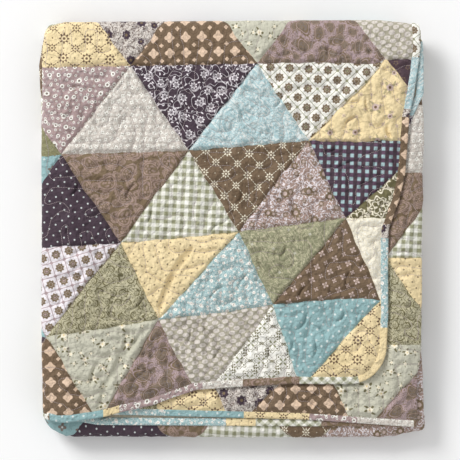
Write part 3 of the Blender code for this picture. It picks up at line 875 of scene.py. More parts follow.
def sheet_places(counts, first, last, skipped):
    """Places along one way of the plain sheet, as (part, share, distance from the rim)."""
    places = [(first, 0.0, inset) for inset in EDGE_LINES]
    for part, count in counts.items():
        for step in range(skipped if part == first else 0, count - 1 if part == last else count):
            places.append((part, step / count, math.nan))
    return places + [(last, 1.0, inset) for inset in reversed(EDGE_LINES)]


def sheet_object():
    """The whole sheet of the quilt, back and front, closed at its rims."""
    columns = sheet_places(COLUMN_COUNTS, UNDER, FLAP, 1)
    rows = sheet_places(ROW_COUNTS, RUN_1, RUN_4, 2)
    wide, tall = len(columns), len(rows)
    grid = [(column, row) for row in rows for column in columns]
    panel = np.array([column[0] for column, _ in grid])
    share = np.array([column[1] for column, _ in grid])
    inset = np.array([column[2] for column, _ in grid])
    leg = np.array([row[0] for _, row in grid])
    along = np.array([row[1] for _, row in grid])
    from_end = np.array([row[2] for _, row in grid])
    under_tape = BINDING_WIDTH + TAPE_MARGIN
    bound = (np.nan_to_num(inset, nan=1.0) < under_tape) | (np.nan_to_num(from_end, nan=1.0) < under_tape)
    wall = np.where(bound, PRESSED, 0.0)
    front = folded(panel, share, inset, LAYER - wall, leg, along, from_end)
    back = folded(panel, share, inset, wall, leg, along, from_end)
    faces, kinds = [], []
    size = wide * tall
    for j in range(tall - 1):
        for i in range(wide - 1):
            a = j * wide + i
            quad = (a, a + 1, a + wide + 1, a + wide)
            faces += [quad, tuple(size + n for n in reversed(quad))]
            kinds += [0, 1]
    ring = list(range(wide)) + [n * wide + wide - 1 for n in range(1, tall)]
    ring += [size - 1 - n for n in range(1, wide)] + [(tall - 1 - n) * wide for n in range(1, tall - 1)]
    for n, here in enumerate(ring):
        there = ring[(n + 1) % len(ring)]
        faces.append((there, here, size + here, size + there))
        kinds.append(1)
    points = np.vstack([front, back])
    return mesh_object(
        "quilt_sheet", points, faces, kinds, [print_material("pale_speckle"), print_material("lining")],
        points[:, :2],
    )


def binding_profile(raised, waver):
    """The folded tape's section: (distance from the rim, lift)."""
    top = LAYER + raised
    low = -0.0001
    width = BINDING_WIDTH + waver
    return (
        (width, top - 0.0006), (width - 0.0006, top - 0.0001), (width * 0.7, top + 0.0001),
        (width * 0.35, top + 0.0001), (0.0022, top - 0.0002), (0.0009, top - 0.0006),
        (0.0001, LAYER * 0.5), (0.0009, low + 0.0005), (0.0022, low + 0.0001), (width, low),
        (width, low + 0.0005), (0.0026, low + 0.0007), (0.0026, top - 0.0012), (width - 0.001, top - 0.0011),
    )


def tape_places(counts, whole, first, last):
    """Places along one side of the quilt, short of its corners, as (part, share)."""
    places = []
    for part, count in counts.items():
        corner = math.ceil(CORNER_RADIUS / whole * count) + 1
        begin = corner if part == first else 0
        end = count - corner + 1 if part == last else count
        places += [(part, step / count) for step in range(begin, end)]
    return places


def binding_stations(sizes):
    """Sections of the binding, once round the flat quilt, as (kind, layer, leg, place)."""
    nan = math.nan
    long_way = max(8, round(PANEL_LENGTH / sizes.binding_step))
    shares = {UNDER: long_way // 2, INNER_FOLD: 4, THIRD: long_way, RIGHT_FOLD: 6, BOTTOM: long_way,
              OUTER_FOLD: 8, FLAP: long_way}
    across = tape_places(shares, PANEL_WIDTH, UNDER, FLAP)
    legs = {RUN_1: long_way, FAR_FOLD_1: 12, RUN_2: long_way // 2, NEAR_FOLD: 10, RUN_3: long_way // 2,
            FAR_FOLD_2: 10, RUN_4: long_way // 2}
    along = tape_places(legs, RUN_LENGTH, RUN_1, RUN_4)

    def at_end(panel, share, leg):
        return ("end", panel, leg, lambda depth: (panel, share, nan, leg, float(leg == RUN_4), depth))

    def at_side(panel, leg, share):
        return ("side", panel, leg, lambda depth: (panel, float(panel == FLAP), depth, leg, share, nan))

    def at_corner(panel, leg, part):
        on_side = part <= CORNER_STEPS
        slide = part / CORNER_STEPS if on_side else (2 * CORNER_STEPS - part) / CORNER_STEPS

        def place(depth):
            other = CORNER_RADIUS - slide * (CORNER_RADIUS - depth)
            near, far = (depth, other) if on_side else (other, depth)
            return (panel, float(panel == FLAP), near, leg, float(leg == RUN_4), far)

        return ("side" if on_side else "end", panel, leg, place)

    parts = range(2 * CORNER_STEPS + 1)
    stations = [at_end(panel, share, RUN_1) for panel, share in across]
    stations += [at_corner(FLAP, RUN_1, part) for part in reversed(parts)]
    stations += [at_side(FLAP, leg, share) for leg, share in along]
    stations += [at_corner(FLAP, RUN_4, part) for part in parts]
    stations += [at_end(panel, share, RUN_4) for panel, share in reversed(across)]
    stations += [at_corner(UNDER, RUN_4, part) for part in reversed(parts)]
    stations += [at_side(UNDER, leg, share) for leg, share in reversed(along)]
    stations += [at_corner(UNDER, RUN_1, part) for part in parts]
    return stations


def scrap_at(table, value):
    """The print of the last scrap that starts before the value, in metres."""
    name = table[0][1]
    for start, item in table:
        if value >= start * MILLI:
            name = item
    return name


def scrap_of(kind, panel, leg, middle, length):
    """The print of the binding at a station."""
    x, y = middle[0] - CENTRE_SHIFT[0], middle[1] - CENTRE_SHIFT[1]
    if leg in (RUN_1, FAR_FOLD_1) and panel == FLAP:
        return scrap_at(FLAP_END_SCRAPS, x) if kind == "end" else scrap_at(FLAP_SIDE_SCRAPS, y)
    if leg == RUN_1 and kind == "end":
        return scrap_at(THIRD_END_SCRAPS if panel in (UNDER, INNER_FOLD, THIRD) else BOTTOM_END_SCRAPS, x)
    if leg == RUN_1 and panel == UNDER:
        return scrap_at(UNDER_SIDE_SCRAPS, y)
    return OTHER_SCRAPS[int(length / SCRAP_LENGTH) % len(OTHER_SCRAPS)]


def binding_objects(sizes):
    """The binding, with the flap's near end and side as a piece of their own."""
    stations = binding_stations(sizes)
    sections, depths = [], []
    for n, (kind, panel, leg, place) in enumerate(stations):
        on_flap = panel == FLAP and leg in (RUN_1, FAR_FOLD_1)
        waver = TAPE_WAVER * math.sin(n * 0.7) * math.sin(n * 0.23 + 1.0) if on_flap else 0.0
        profile = binding_profile(sizes.binding_rise if on_flap else LOW_RISE, waver)
        rows = [place(depth) for depth, _ in profile]
        columns = [np.array(column, dtype=float) for column in zip(*rows)]
        lift = np.array([lift for _, lift in profile])
        sections.append((columns, lift))
        depths.append([depth if lift > LAYER / 2 else -depth for depth, lift in profile])
    size = len(depths[0])
    merged = [np.concatenate([columns[k] for columns, _ in sections]) for k in range(6)]
    lifts = np.concatenate([lift for _, lift in sections])
    panel, share, inset, leg, along, from_end = merged
    points = folded(panel.astype(int), share, inset, lifts, leg.astype(int), along, from_end)
    middle = points.reshape(len(stations), size, 3)[:, 2]
    gaps = np.linalg.norm(np.roll(middle, -1, axis=0) - middle, axis=1)
    length = np.concatenate([[0.0], np.cumsum(gaps)])
    names = [
        scrap_of(kind, panel_of, leg_of, middle[n], length[n])
        for n, (kind, panel_of, leg_of, _) in enumerate(stations)
    ]
    shown = [station[1] == FLAP and station[2] in (RUN_1, FAR_FOLD_1) for station in stations]
    made = []
    for title, wanted in (("binding_flap", True), ("binding_rest", False)):
        used, faces, kinds, places, kept = [], [], [], [], []
        for n in range(len(stations)):
            if shown[n] != wanted:
                continue
            if names[n] not in used:
                used.append(names[n])
            kept.append(n)
            after = (n + 1) % len(stations)
            for ends in (n, after):
                at = length[n] if ends == n else length[n + 1]
                places += [(at, depth) for depth in depths[ends]]
            base = (len(kept) - 1) * 2 * size
            for k in range(size):
                more = (k + 1) % size
                faces.append((base + k, base + more, base + size + more, base + size + k))
                kinds.append(used.index(names[n]))
        rows = points.reshape(len(stations), size, 3)
        piece = np.concatenate([np.concatenate([rows[n], rows[(n + 1) % len(stations)]]) for n in kept])
        item = mesh_object(title, piece, faces, kinds, [print_material(name) for name in used], places)
        weld(item)
        made.append(item)
    return made


def weld(item):
    """Joins the points that lie on each other."""
    mesh = bmesh.new()
    mesh.from_mesh(item.data)
    bmesh.ops.remove_doubles(mesh, verts=mesh.verts, dist=1e-6)
    bmesh.ops.recalc_face_normals(mesh, faces=mesh.faces)
    mesh.to_mesh(item.data)
    mesh.free()


def stitches_object(name, window, places, ways, length, width, height):
    """Thread stitches that lie on the cloth, from their middles and directions on the flat."""
    p, q = places[:, 0], places[:, 1]
    side = np.stack([-ways[:, 1], ways[:, 0]], axis=1)
    forward, aside = ways * length / 2, side * width / 2
    offsets = (-forward, aside, np.zeros_like(ways), -aside, forward)
    rises = (-0.1, 0.25, 1.0, 0.25, -0.1)
    corners = []
    for offset, rise in zip(offsets, rises):
        lift = height * window.fade(p, q) + THREAD_LIFT + rise * width * THREAD_ROUND
        corners.append(window.points(p + offset[:, 0], q + offset[:, 1], lift))
    points = np.stack(corners, axis=1).reshape(-1, 3)
    faces = []
    for n in range(len(places)):
        a, b, c, d, e = range(5 * n, 5 * n + 5)
        faces += [(a, c, b), (a, d, c), (b, c, e), (c, d, e)]
    flat = np.repeat(places, 5, axis=0)
    return mesh_object(name, points, faces, [0] * len(faces), [thread_material()], flat)


FULL_TURN = 6.28
WEAVE_PITCH = 11400.0   # threads of the weave, in radians a metre
PUCKER_DEPTH = 0.0034
WEAVE_DEPTH = 0.00008


class Value:
    """A number in a node tree. Arithmetic on it adds the nodes."""

    def __init__(self, tree, socket):
        self.tree = tree
        self.socket = socket

    def run(self, operation, *others, clamp=False):
        node = self.tree.nodes.new("ShaderNodeMath")
        node.operation = operation
        node.use_clamp = clamp
        for slot, item in zip(node.inputs, (self, *others)):
            if isinstance(item, Value):
                self.tree.links.new(item.socket, slot)
            else:
                slot.default_value = item
        return Value(self.tree, node.outputs[0])

    def __add__(self, other):
        return self.run("ADD", other)

    def __sub__(self, other):
        return self.run("SUBTRACT", other)

    def __mul__(self, other):
        return self.run("MULTIPLY", other)

    def __truediv__(self, other):
        return self.run("DIVIDE", other)

    def fraction(self):
        return self.run("FRACT")

    def size(self):
        return self.run("ABSOLUTE")

    def below(self, limit, soft):
        """1 under the limit and 0 over it, with a soft edge."""
        if isinstance(limit, Value):
            return (limit - self).run("MULTIPLY_ADD", 1.0 / soft, 0.5, clamp=True)
        return self.run("MULTIPLY_ADD", -1.0 / soft, limit / soft + 0.5, clamp=True)

    def but_not(self, other):
        return self * (other * -1.0 + 1.0)


def length_of(x, y):
    """Distance of (x, y) from the origin."""
    return (x * x + y * y).run("SQRT")


def mixed(tree, ground, over, amount):
    """The colour over laid on the ground by the amount."""
    node = tree.nodes.new("ShaderNodeMix")
    node.data_type = "RGBA"
    tree.links.new(amount.socket, node.inputs[0])
    tree.links.new(ground, node.inputs[6])
    tree.links.new(over, node.inputs[7])
    return node.outputs[2]


def vector_of(tree, x, y, z=0.0):
    """A vector socket from numbers or values."""
    node = tree.nodes.new("ShaderNodeCombineXYZ")
    for slot, item in zip(node.inputs, (x, y, z)):
        if isinstance(item, Value):
            tree.links.new(item.socket, slot)
        else:
            slot.default_value = item
    return node.outputs[0]


def noise_at(tree, x, y, scale, detail):
    """Smooth noise between 0 and 1."""
    node = tree.nodes.new("ShaderNodeTexNoise")
    node.noise_dimensions = "2D"
    tree.links.new(vector_of(tree, x, y), node.inputs["Vector"])
    node.inputs["Scale"].default_value = scale
    node.inputs["Detail"].default_value = detail
    return Value(tree, node.outputs[0])


def chance(tree, column, row, seed):
    """Three random numbers for a cell."""
    node = tree.nodes.new("ShaderNodeTexWhiteNoise")
    node.noise_dimensions = "3D"
    tree.links.new(vector_of(tree, column, row, seed), node.inputs["Vector"])
    split = tree.nodes.new("ShaderNodeSeparateColor")
    tree.links.new(node.outputs["Color"], split.inputs[0])
    return [Value(tree, socket) for socket in split.outputs]


def cell(x, y, shift=0.0):
    """Place in a cell about its middle, and the cell's column and row."""
    row = y.run("FLOOR")
    moved = x + row * shift if shift else x
    column = moved.run("FLOOR")
    return moved - column - 0.5, y - row - 0.5, column, row


def petals(x, y, radius, count, depth, soft=0.03):
    """A flower about the origin, and the distance from it."""
    far = length_of(x, y)
    turn = y.run("ARCTAN2", x)
    rim = ((turn * count).run("COSINE") * depth + 1.0) * radius
    return far.below(rim, soft), far


def rotated(x, y, turn):
    """The place (x, y) turned about the origin."""
    c, s = turn.run("COSINE"), turn.run("SINE")
    return x * c - y * s, x * s + y * c


def lattice_print(tree, x, y, v, ground, figure, accent, leaf):
    """Rosettes or dots at the crossings of a lattice and between them, with dashes along it."""
    tall = y / v["Aspect"]
    u, w, _, _ = cell(x, tall)
    w = w * v["Aspect"]
    flower, far = petals(u, w, v["Radius"], v["Petals"], v["Depth"])
    hollow = (far - v["Radius"] * 0.48).size().below(v["Hollow"], 0.03)
    half_u, half_w, _, _ = cell(x + 0.5, tall + 0.5)
    half_w = half_w * v["Aspect"]
    small, small_far = petals(half_u, half_w, v["Small"], v["Petals"], v["Depth"])
    small_hollow = (small_far - v["Small"] * 0.48).size().below(v["Hollow"] * 0.8, 0.03)
    ring = (small_far - v["Ring"]).size().below(0.012, 0.02) * v["Ring"].run("GREATER_THAN", 0.0)
    off = (u.size() * v["Aspect"] - w.size()).size()
    broken = ((far - v["Radius"]) * 52.0).run("COSINE").run("GREATER_THAN", -0.4)
    clear = (v["Radius"] * 1.15 - far).below(0.0, 0.03) * (v["Small"] * 1.25 - small_far).below(0.0, 0.03)
    dashes = off.below(v["Dash"], 0.02) * clear * broken * v["Dash"].run("GREATER_THAN", 0.0)
    side_u, side_w, _, _ = cell(x + 0.5, tall)
    up_u, up_w, _, _ = cell(x, tall + 0.5)
    dot = length_of(side_u, side_w * v["Aspect"]).below(v["Dot"], 0.02)
    dot = dot.run("MAXIMUM", length_of(up_u, up_w * v["Aspect"]).below(v["Dot"], 0.02))
    net = (u.size() * v["Aspect"] + w.size() - v["Aspect"] * 0.5).size().below(v["Net"], 0.03)
    drawn = mixed(tree, ground, accent, ring.run("MAXIMUM", net * v["Net"].run("GREATER_THAN", 0.0)))
    drawn = mixed(tree, drawn, figure, dashes)
    drawn = mixed(tree, drawn, accent, dot * v["Dot"].run("GREATER_THAN", 0.0))
    drawn = mixed(tree, drawn, leaf, small.but_not(small_hollow))
    drawn = mixed(tree, drawn, figure, flower.but_not(hollow))
    return mixed(tree, drawn, accent, far.below(v["Core"], 0.02) * v["Core"].run("GREATER_THAN", 0.0))


def check_print(tree, x, y, v, ground, figure, accent, leaf):
    """Even checks: bands both ways, darker where they cross."""
    across = (x.fraction() - 0.5).size().below(v["Band"], 0.12)
    along = (y.fraction() - 0.5).size().below(v["Band"], 0.12)
    drawn = mixed(tree, ground, accent, across)
    drawn = mixed(tree, drawn, leaf, along)
    return mixed(tree, drawn, figure, across * along)


def speckle(tree, x, y, scale):
    """Fine broken scrawl."""
    bend = noise_at(tree, x, y, scale, 2.0)
    return ((bend * 5.0).fraction() - 0.5).size().below(0.16, 0.1)


def bloom_layer(tree, x, y, v, drawn, inks, scale, seed, strength):
    """One flower with leaves in each cell, turned and moved by chance."""
    figure, accent, leaf = inks
    u, w, column, row = cell(x * scale + seed * 0.37, y * scale + seed * 0.61, 0.5)
    a, b, c = chance(tree, column, row, seed)
    u = u - (a - 0.5) * v["Scatter"]
    w = w - (b - 0.5) * v["Scatter"]
    u, w = rotated(u, w, c * FULL_TURN)
    radius = v["Radius"] * (a * 0.5 + 0.75)
    flower, far = petals(u, w, radius, v["Petals"], v["Depth"])
    core = far.below(v["Core"] * (a * 0.5 + 0.75), 0.03) * v["Core"].run("GREATER_THAN", 0.0)
    along = (u.size() - radius * 1.5) / (radius * 0.8)
    aside = (w - u * u.size() * 1.5) / (radius * 0.4)
    other = length_of((w.size() - radius * 1.3) / (radius * 0.6), (u + radius * 0.5) / (radius * 0.4))
    leaves = length_of(along, aside).below(1.0, 0.25).run("MAXIMUM", other.below(1.0, 0.25)) * v["Leaves"]
    drawn = mixed(tree, drawn, leaf, leaves * strength)
    drawn = mixed(tree, drawn, figure, flower * strength)
    return mixed(tree, drawn, accent, core * strength)


def bloom_print(tree, x, y, v, ground, figure, accent, leaf):
    """Scattered flowers with leaves, smaller ones between them, over a fine speckle."""
    drawn = mixed(tree, ground, leaf, speckle(tree, x, y, 3.2) * v["Speck"])
    inks = (figure, accent, leaf)
    drawn = bloom_layer(tree, x, y, v, drawn, inks, 1.7, 2.0, v["Second"])
    return bloom_layer(tree, x, y, v, drawn, inks, 1.0, 1.0, 1.0)


def scroll_print(tree, x, y, v, ground, figure, accent, _leaf):
    """Curling stems with small leaves, and rosettes on them."""
    bend = noise_at(tree, x, y, 0.9, 1.0) - 0.5
    swirl = noise_at(tree, x + bend * 0.8, y - bend * 0.8, 1.6, 0.0)
    stem = ((swirl * v["Stems"]).fraction() - 0.5).size().below(v["Line"], 0.05)
    u, w, column, row = cell(x, y, 0.5)
    a, b, c = chance(tree, column, row, 3.0)
    u, w = rotated(u - (a - 0.5) * 0.3, w - (b - 0.5) * 0.3, c * FULL_TURN)
    flower, far = petals(u, w, v["Radius"], 7.0, 0.22)
    dotted = (far - v["Radius"] * 0.5).size().below(0.02, 0.03)
    turn = w.run("ARCTAN2", u)
    coil = ((far * v["Coils"] - turn / math.tau).fraction() - 0.5).size().below(0.15, 0.08)
    coil = coil * far.below(0.40, 0.03) * (v["Radius"] * 1.3 - far).below(0.0, 0.03) * v["Curls"]
    fine_u, fine_w, fine_column, fine_row = cell(x * 3.1, y * 3.1, 0.5)
    d, e, f = chance(tree, fine_column, fine_row, 8.0)
    fine_u, fine_w = rotated(fine_u - (d - 0.5) * 0.4, fine_w - (e - 0.5) * 0.4, f * FULL_TURN)
    leaves = length_of(fine_u / 0.30, (fine_w + fine_u * fine_u) / 0.13).below(1.0, 0.3)
    leaves = leaves * d.run("GREATER_THAN", 0.45)
    drawn = mixed(tree, ground, figure, stem.run("MAXIMUM", leaves))
    drawn = mixed(tree, drawn, ground, far.below(v["Radius"] * 1.35, 0.03))
    drawn = mixed(tree, drawn, figure, coil.run("MAXIMUM", flower.but_not(dotted)))
    return mixed(tree, drawn, accent, far.below(v["Radius"] * 0.3, 0.03))


def leaf_at(u, w, out, length, width):
    """Four leaves on the diagonals, out from the middle."""
    along = (u.size() + w.size()) * 0.7071 - out
    aside = (u.size() - w.size()) * 0.7071
    return length_of(along / length, aside / width).below(1.0, 0.2)


def ornament_print(tree, x, y, v, ground, figure, accent, leaf):
    """Thin scalloped frames with four leaves in them, and small curls between."""
    tall = y / 0.8
    u, w, _, _ = cell(x, tall, 0.5)
    w = w * 0.8
    far = length_of(u, w)
    turn = w.run("ARCTAN2", u)
    frame_line = (far / ((turn * 8.0).run("COSINE") * 0.14 + 1.0) - 0.37).size().below(v["Line"], 0.02)
    lobes = (far / ((turn * 4.0).run("COSINE") * 0.3 + 1.0) - 0.23).size().below(v["Line"] * 0.7, 0.02)
    leaves = leaf_at(u, w, 0.14, 0.085, 0.040)
    bud = leaf_at(u, w, 0.30, 0.04, 0.035)
    cross_u, cross_w, _, _ = cell(x + 0.25, tall + 0.5, 0.5)
    cross_w = cross_w * 0.8
    cross_far = length_of(cross_u, cross_w)
    curl = (cross_far - 0.17).size().below(v["Line"], 0.02)
    curl = curl * ((cross_w.run("ARCTAN2", cross_u) * 4.0).run("SINE")).run("GREATER_THAN", -0.3)
    cross = leaf_at(cross_u, cross_w, 0.08, 0.055, 0.028)
    side_u, side_w, _, _ = cell(x + 0.5, tall, 0.5)
    side = leaf_at(side_u, side_w * 0.8, 0.05, 0.045, 0.025)
    drawn = mixed(tree, ground, figure, frame_line.run("MAXIMUM", lobes).run("MAXIMUM", side))
    drawn = mixed(tree, drawn, figure, curl.run("MAXIMUM", cross).run("MAXIMUM", bud))
    drawn = mixed(tree, drawn, leaf, leaves)
    return mixed(tree, drawn, accent, far.below(0.03, 0.02))


def paisley_layer(tree, x, y, v, drawn, ground, figure, accent, scale, seed):
    """One curved drop with rings in each cell, turned and moved by chance."""
    u, w, column, row = cell(x * scale + seed * 0.43, y * scale + seed * 0.29, 0.5)
    a, b, c = chance(tree, column, row, seed + 4.0)
    u, w = rotated(u - (a - 0.5) * 0.2, w - (b - 0.5) * 0.2, c * FULL_TURN)
    u = u - w * w * 0.9
    far = length_of(u, w)
    turn = w.run("ARCTAN2", u)
    tip = (turn.run("SINE") * 0.5 + 0.5).run("POWER", 5.0) * 0.9 + 1.0
    share = far / (tip * v["Radius"] * (a * 0.4 + 0.8))
    scallop = (turn * 14.0).run("COSINE") * 0.06 + 1.0
    drawn = mixed(tree, drawn, figure, share.below(scallop, 0.12))
    drawn = mixed(tree, drawn, ground, (share - 0.80).size().below(0.04, 0.05))
    drawn = mixed(tree, drawn, accent, share.below(0.60, 0.10))
    petal = ((turn * 6.0).run("COSINE") * 0.5 + 0.5) * (share - 0.36).size().below(0.13, 0.08)
    drawn = mixed(tree, drawn, figure, petal)
    return mixed(tree, drawn, figure, share.below(0.13, 0.06))


def paisley_print(tree, x, y, v, ground, figure, accent, leaf):
    """Curved drops with rings in them, of two sizes, over a fine scribble."""
    bend = noise_at(tree, x, y, 2.2, 1.0)
    scribble = ((bend * 9.0).fraction() - 0.5).size().below(0.14, 0.08)
    drawn = mixed(tree, ground, leaf, scribble * 0.8)
    drawn = paisley_layer(tree, x, y, v, drawn, ground, figure, accent, 1.6, 2.0)
    return paisley_layer(tree, x, y, v, drawn, ground, figure, accent, 1.0, 1.0)


def tone_print(tree, x, y, v, ground, figure, accent, _leaf):
    """Tone on tone: soft leafy blots."""
    bend = noise_at(tree, x, y, 1.5, 1.0) - 0.5
    mottled = noise_at(tree, x + bend, y - bend, 2.6, 3.0)
    line = ((mottled * 6.0).fraction() - 0.5).size().below(v["Line"], 0.12)
    drawn = mixed(tree, ground, figure, line)
    dot_u, dot_w, _, _ = cell(x, y, 0.5)
    dot, _ = petals(dot_u, dot_w, v["Radius"], 4.0, 0.3)
    return mixed(tree, drawn, accent, dot)


LATTICE_SIZES = (
    "Aspect", "Radius", "Petals", "Depth", "Hollow", "Core", "Small", "Ring", "Dash", "Dot", "Net",
)
BLOOM_SIZES = ("Radius", "Petals", "Depth", "Core", "Scatter", "Leaves", "Second", "Speck")
FAMILIES = {
    "lattice": (lattice_print, LATTICE_SIZES),
    "check": (check_print, ("Band",)),
    "bloom": (bloom_print, BLOOM_SIZES),
    "scroll": (scroll_print, ("Stems", "Line", "Radius", "Coils", "Curls")),
    "ornament": (ornament_print, ("Line",)),
    "paisley": (paisley_print, ("Radius",)),
    "tone": (tone_print, ("Line", "Radius")),
}
INKS = ("Ground", "Figure", "Accent", "Leaf")


def new_group(title, inputs, outputs):
    """An empty node group with named inputs and outputs, and the nodes that hold them."""
    tree = bpy.data.node_groups.new(title, "ShaderNodeTree")
    for way, sockets in (("INPUT", inputs), ("OUTPUT", outputs)):
        for name, kind in sockets:
            tree.interface.new_socket(name, in_out=way, socket_type=f"NodeSocket{kind}")
    return tree, tree.nodes.new("NodeGroupInput"), tree.nodes.new("NodeGroupOutput")


def split_place(tree, entry):
    """The two coordinates of a group's place."""
    split = tree.nodes.new("ShaderNodeSeparateXYZ")
    tree.links.new(entry.outputs["Place"], split.inputs[0])
    return Value(tree, split.outputs[0]), Value(tree, split.outputs[1])


def family_group(family):
    """The node group of a family of prints, made once."""
    title = f"{family}_print"
    if title in bpy.data.node_groups:
        return bpy.data.node_groups[title]
    build, numbers = FAMILIES[family]
    inputs = [("Place", "Vector"), *((name, "Float") for name in ("Repeat", "Turn", *numbers))]
    inputs += [(name, "Color") for name in INKS]
    tree, entry, leave = new_group(title, inputs, [("Color", "Color")])
    values = {name: Value(tree, entry.outputs[name]) for name in ("Repeat", "Turn", *numbers)}
    x, y = rotated(*split_place(tree, entry), values["Turn"])
    x, y = x / values["Repeat"], y / values["Repeat"]
    colour = build(tree, x, y, values, *(entry.outputs[name] for name in INKS))
    tree.links.new(colour, leave.inputs["Color"])
    return tree


def finish_group():
    """Node group for all cloth: faded tone, threads of the weave, roughness and fine puckers."""
    title = "cloth_finish"
    if title in bpy.data.node_groups:
        return bpy.data.node_groups[title]
    outputs = [("Color", "Color"), ("Roughness", "Float"), ("Threads", "Float"), ("Puckers", "Float")]
    tree, entry, leave = new_group(title, [("Place", "Vector"), ("Color", "Color")], outputs)
    x, y = split_place(tree, entry)
    uneven = noise_at(tree, x, y, 300.0, 1.0)
    warp = (x * WEAVE_PITCH + uneven * 2.0).run("SINE")
    weft = (y * WEAVE_PITCH + uneven * 2.0).run("SINE")
    threads = (warp * weft).run("MULTIPLY_ADD", 0.5, 0.5)
    fade = noise_at(tree, x, y, 22.0, 3.0)
    slub = noise_at(tree, x * 0.12, y, 900.0, 1.0) * 0.5 + noise_at(tree, x, y * 0.12, 900.0, 1.0) * 0.5
    light = (fade - 0.5) * 0.22 + (slub - 0.5) * 0.22 + (threads - 0.5) * 0.05 + 1.0
    bright = tree.nodes.new("ShaderNodeHueSaturation")
    tree.links.new(entry.outputs["Color"], bright.inputs["Color"])
    tree.links.new(light.socket, bright.inputs["Value"])
    tree.links.new(fade.run("MULTIPLY_ADD", -0.12, 1.04).socket, bright.inputs["Saturation"])
    tree.links.new(bright.outputs[0], leave.inputs["Color"])
    rough = (slub * 0.16 + 0.78).run("MINIMUM", 1.0)
    tree.links.new(rough.socket, leave.inputs["Roughness"])
    tree.links.new(threads.socket, leave.inputs["Threads"])
    slanted = noise_at(tree, x * 0.7 + y * 0.7, y * 0.3 - x * 0.3, 120.0, 1.0)
    pucker = noise_at(tree, x, y, 170.0, 2.0) + slanted
    tree.links.new(pucker.socket, leave.inputs["Puckers"])
    return tree


def ink(name):
    """A colour of the palette."""
    return (*getattr(bpy.context.scene.quilt_colours, name), 1.0)


